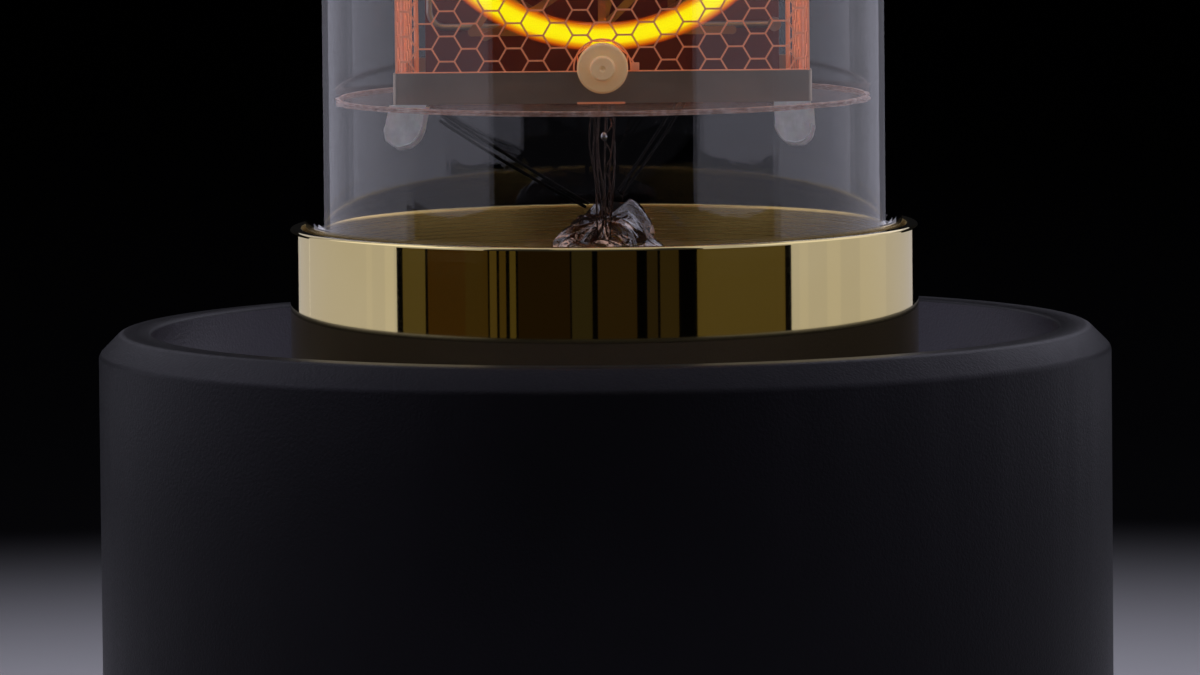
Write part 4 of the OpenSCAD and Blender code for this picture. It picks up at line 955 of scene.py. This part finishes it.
anode = {"halfFront": 20.3, "taper": 0.5, "front": -13.7, "back": 13.1, "sheet": 0.16, "wire": 0.17,
         "columnPitch": 2.166, "rowPitch": 2.49, "cellZ": 79.53, "bottom": 76.85, "top": 138.35,
         "bushZ": (78.8, 136.4), "ringRadius": 2.78, "inset": 0.35, "bandLow": (75.3, 78.4),
         "bandHigh": (136.8, 139.9), "netCorner": 0.3, "netEnds": 0.4}
netMiddle = (anode["bottom"] + anode["top"]) / 2
netHeight = anode["top"] - anode["bottom"]
phase = (anode["cellZ"] - netMiddle) % anode["rowPitch"]
net = netTree()
sideTurn = math.atan2(anode["taper"], anode["back"] - anode["front"])
sideLength = (anode["back"] - anode["front"] - 2 * anode["inset"] - anode["netEnds"]) / math.cos(sideTurn)
sideX = anode["halfFront"] - anode["inset"] - anode["taper"] / 2
sideY = (anode["front"] + anode["back"]) / 2
netCommon = {"Height": netHeight * mm, "Column pitch": anode["columnPitch"] * mm,
             "Row pitch": anode["rowPitch"] * mm, "Row shift": phase * mm, "Wire": anode["wire"] * mm,
             "Thickness": anode["sheet"] * mm, "Material": netCopper}
upright = math.radians(90)
frontWidth = 2 * (anode["halfFront"] - anode["inset"] - anode["netCorner"])
frontNet = fromTree(net, {
    **netCommon, "Width": frontWidth * mm, "Ring radius": anode["ringRadius"] * mm,
    "Lower bush": (0, (anode["bushZ"][0] - netMiddle) * mm, 0),
    "Upper bush": (0, (anode["bushZ"][1] - netMiddle) * mm, 0),
    "Place": (0, (anode["front"] + anode["inset"] + anode["sheet"]) * mm, netMiddle * mm),
    "Turn": (upright, 0, 0)})
sideNets = []
for side in (-1, 1):
    sideNets.append(fromTree(net, {
        **netCommon, "Width": sideLength * mm, "Ring radius": 0.0,
        "Place": (side * sideX * mm, sideY * mm, netMiddle * mm),
        "Turn": (upright, 0, side * (upright + sideTurn))}))
for mesh in [frontNet] + sideNets:
    mesh.shade_flat()
piece("anodeNetFront", frontNet, netCopper, "tube", "copper_mesh", "anode_mesh")
piece("anodeNetSides", joined(sideNets), netCopper, "tube", "copper_mesh", "anode_mesh")
posts = {"radius": 0.25, "bottom": 73.6, "top": 141.6}
postPaths = [[(side * x, y, z) for z in (posts["bottom"], posts["top"])] for x, y in mica["posts"]
             for side in (-1, 1)]
piece("cornerPosts", bentWires(postPaths, posts["radius"], smooth=False), netCopper, "tube", "nickel_sheet",
      "corner_posts")
print("honeycomb made:", len(frontNet.polygons), "faces in front")

# White insulators on the front ends of the digit rods, each with a stepped cap
bush = {"discR": 2.5, "discT": 1.2, "capR": 1.2, "capT": 0.8, "gap": 0.05, "dimpleR": 0.32, "dimple": 0.25,
        "round": 0.28}
capTop = bush["discT"] + bush["capT"]
bushOutline = softened(
    [(0, 0), (bush["discR"], 0), (bush["discR"], bush["discT"]), (bush["capR"], bush["discT"]),
     (bush["capR"], capTop), (bush["dimpleR"], capTop), (0, capTop - bush["dimple"])],
    [0, 0.1, bush["round"], 0.12, 0.18, 0.05, 0], steps=5)
bushes = []
for z in anode["bushZ"]:
    one = turned(bushOutline, 72)
    one.transform(standing(0, anode["front"] - bush["gap"], z))
    bushes.append(one)
piece("frontBushes", joined(bushes), ivoryCeramic, "tube", "white_ceramic", "front_bushes")

# Copper edging: a ring round each bush, a bent tab beside the lower one, a line under the band and one along
# each end of the front net
edging = {"ringIn": 2.72, "ringOut": 2.88, "sheet": 0.2, "tab": (2.7, 3.6, 78.5, 79.3, 0.02, 0.16),
          "underline": (-2.5, 2.2, 75.22, 75.42, 0.1, 0.4), "line": 0.22, "lineY": 0.31, "lineSheet": 0.16}
edges = []
for z in anode["bushZ"]:
    circles = [roundHole(0, 0, edging[side], 64) for side in ("ringOut", "ringIn")]
    place = standing(0, anode["front"] + anode["inset"], z)
    edges.append(cutSheet(circles, edging["sheet"], 0, place))


def uprightStrip(x0, x1, z0, z1, y, thickness, bulge=0.03):
    # a thin strip standing in the front plane
    shape = bmesh.new()
    size = Vector((x1 - x0, thickness, z1 - z0)) * mm
    middle = Vector(((x0 + x1) / 2, y, (z0 + z1) / 2)) * mm
    bmesh.ops.create_cube(shape, size=1, matrix=Matrix.Translation(middle) @ Matrix.Diagonal((*size, 1)))
    bmesh.ops.bevel(shape, geom=shape.edges[:], offset=bulge * mm, segments=2, affect="EDGES", profile=0.5)
    return cleaned(shape, 60)


for x0, x1, z0, z1, y, thickness in (edging["tab"], edging["underline"]):
    edges.append(uprightStrip(x0, x1, z0, z1, anode["front"] + y, thickness))
for z in (anode["bandLow"][1], anode["bandHigh"][0]):
    half = anode["halfFront"] - anode["inset"] - 0.1
    edges.append(uprightStrip(-half, half, z - edging["line"] / 2, z + edging["line"] / 2,
                              anode["front"] + edging["lineY"], edging["lineSheet"]))
piece("copperEdging", joined(edges), netCopper, "tube", "copper_mesh")
print("bushes and edging made")

# The lit zero: a yellow core wire inside a soft orange shell
zero = {"width": 34.0, "height": 52.0, "radius": 19.3, "bottom": 81.6, "y": -9.0, "corner": 0.353, "stroke": 0.8,
        "rodDrop": 2.8, "eyelet": 1.2, "eyeletHole": 0.55, "toEyelet": 0.9, "toGlow": 0.3, "sheet": 0.4,
        "tailZ": 76.4}
shells = ((neonCore, 0.6, "neonCore"), (neonHalo, 1.5, "neonHalo"))


def zeroPath(steps=22):
    # the centreline of the zero, from its lowest point round
    corner = zero["width"] * zero["corner"]
    half = zero["width"] / 2
    lean = math.degrees(math.asin((half - corner) / (zero["radius"] - corner)))
    level = zero["radius"] - (zero["radius"] - corner) * math.cos(math.radians(lean))
    lower = arcPoints((0, zero["radius"]), zero["radius"], -90, -90 + lean, steps)
    lower += arcPoints((half - corner, level), corner, -90 + lean, 0, steps)[1:]
    right = lower + [(half, zero["height"] / 2)] + [(x, zero["height"] - z) for x, z in reversed(lower)]
    left = [(-x, z) for x, z in reversed(right[1:-1])]
    return [(x, zero["y"], z + zero["bottom"]) for x, z in right + left]


for material, radius, name in shells:
    mesh = bentWires([zeroPath()], radius, closed=True, smooth=False, sides=6)
    piece(name, mesh, material, "tube", "lit_digit", "digit_0")

# Its dark ears, eyelets and tail
ears = []
zeroTop = zero["bottom"] + zero["height"]
rodLow, rodHigh = zero["bottom"] - zero["rodDrop"], zeroTop + zero["rodDrop"]
for z in (rodLow, rodHigh):
    circles = [roundHole(0, z, zero["eyelet"], 40), roundHole(0, z, zero["eyeletHole"], 24)]
    ears.append(cutSheet(circles, zero["sheet"], 0, standing(0, zero["y"], 0)))
half = zero["stroke"] / 2
for low, high in ((zero["tailZ"], rodLow - zero["toEyelet"]),
                  (rodLow + zero["toEyelet"], zero["bottom"] - zero["toGlow"]),
                  (zeroTop + zero["toGlow"], rodHigh - zero["toEyelet"])):
    ears.append(uprightStrip(-half, half, low, high, zero["y"], zero["sheet"]))
piece("zeroEars", joined(ears), digitMetal, "tube", "dark_digit")
print("zero made")

# Plain bands that close the box at both ends
band = {"sheet": 0.3, "corner": 0.35, "least": 0.08}


def bandMesh(low, high):
    # a ring in the box's plan with rounded corners
    front, back = anode["front"], anode["back"]
    halfFront = anode["halfFront"]
    halfBack = halfFront - anode["taper"]
    outlines = []
    for inset in (0, band["sheet"]):
        corners = [(-halfFront + inset, front + inset), (halfFront - inset, front + inset),
                   (halfBack - inset, back - inset), (-halfBack + inset, back - inset)]
        outlines.append(softened(corners, [max(band["least"], band["corner"] - inset)] * 4, steps=4))
    return cutSheet(outlines, high - low, low)


bands = [bandMesh(*anode["bandLow"]), bandMesh(*anode["bandHigh"])]
piece("anodeBands", joined(bands), bandNickel, "tube", "nickel_sheet", "anode_bands")

# Cut edges catch the light on the sheet parts that stay as they are
cutEdges = {"back_plate": 0.05, "rear_plate": 0.15, "usb_inlet": 0.05}
for name, width in cutEdges.items():
    nodes[name].modifiers.new("seams", "WELD").merge_threshold = 1e-6
    bevelled(nodes[name], "cutEdge", width, 3, "ANGLE").angle_limit = math.radians(40)
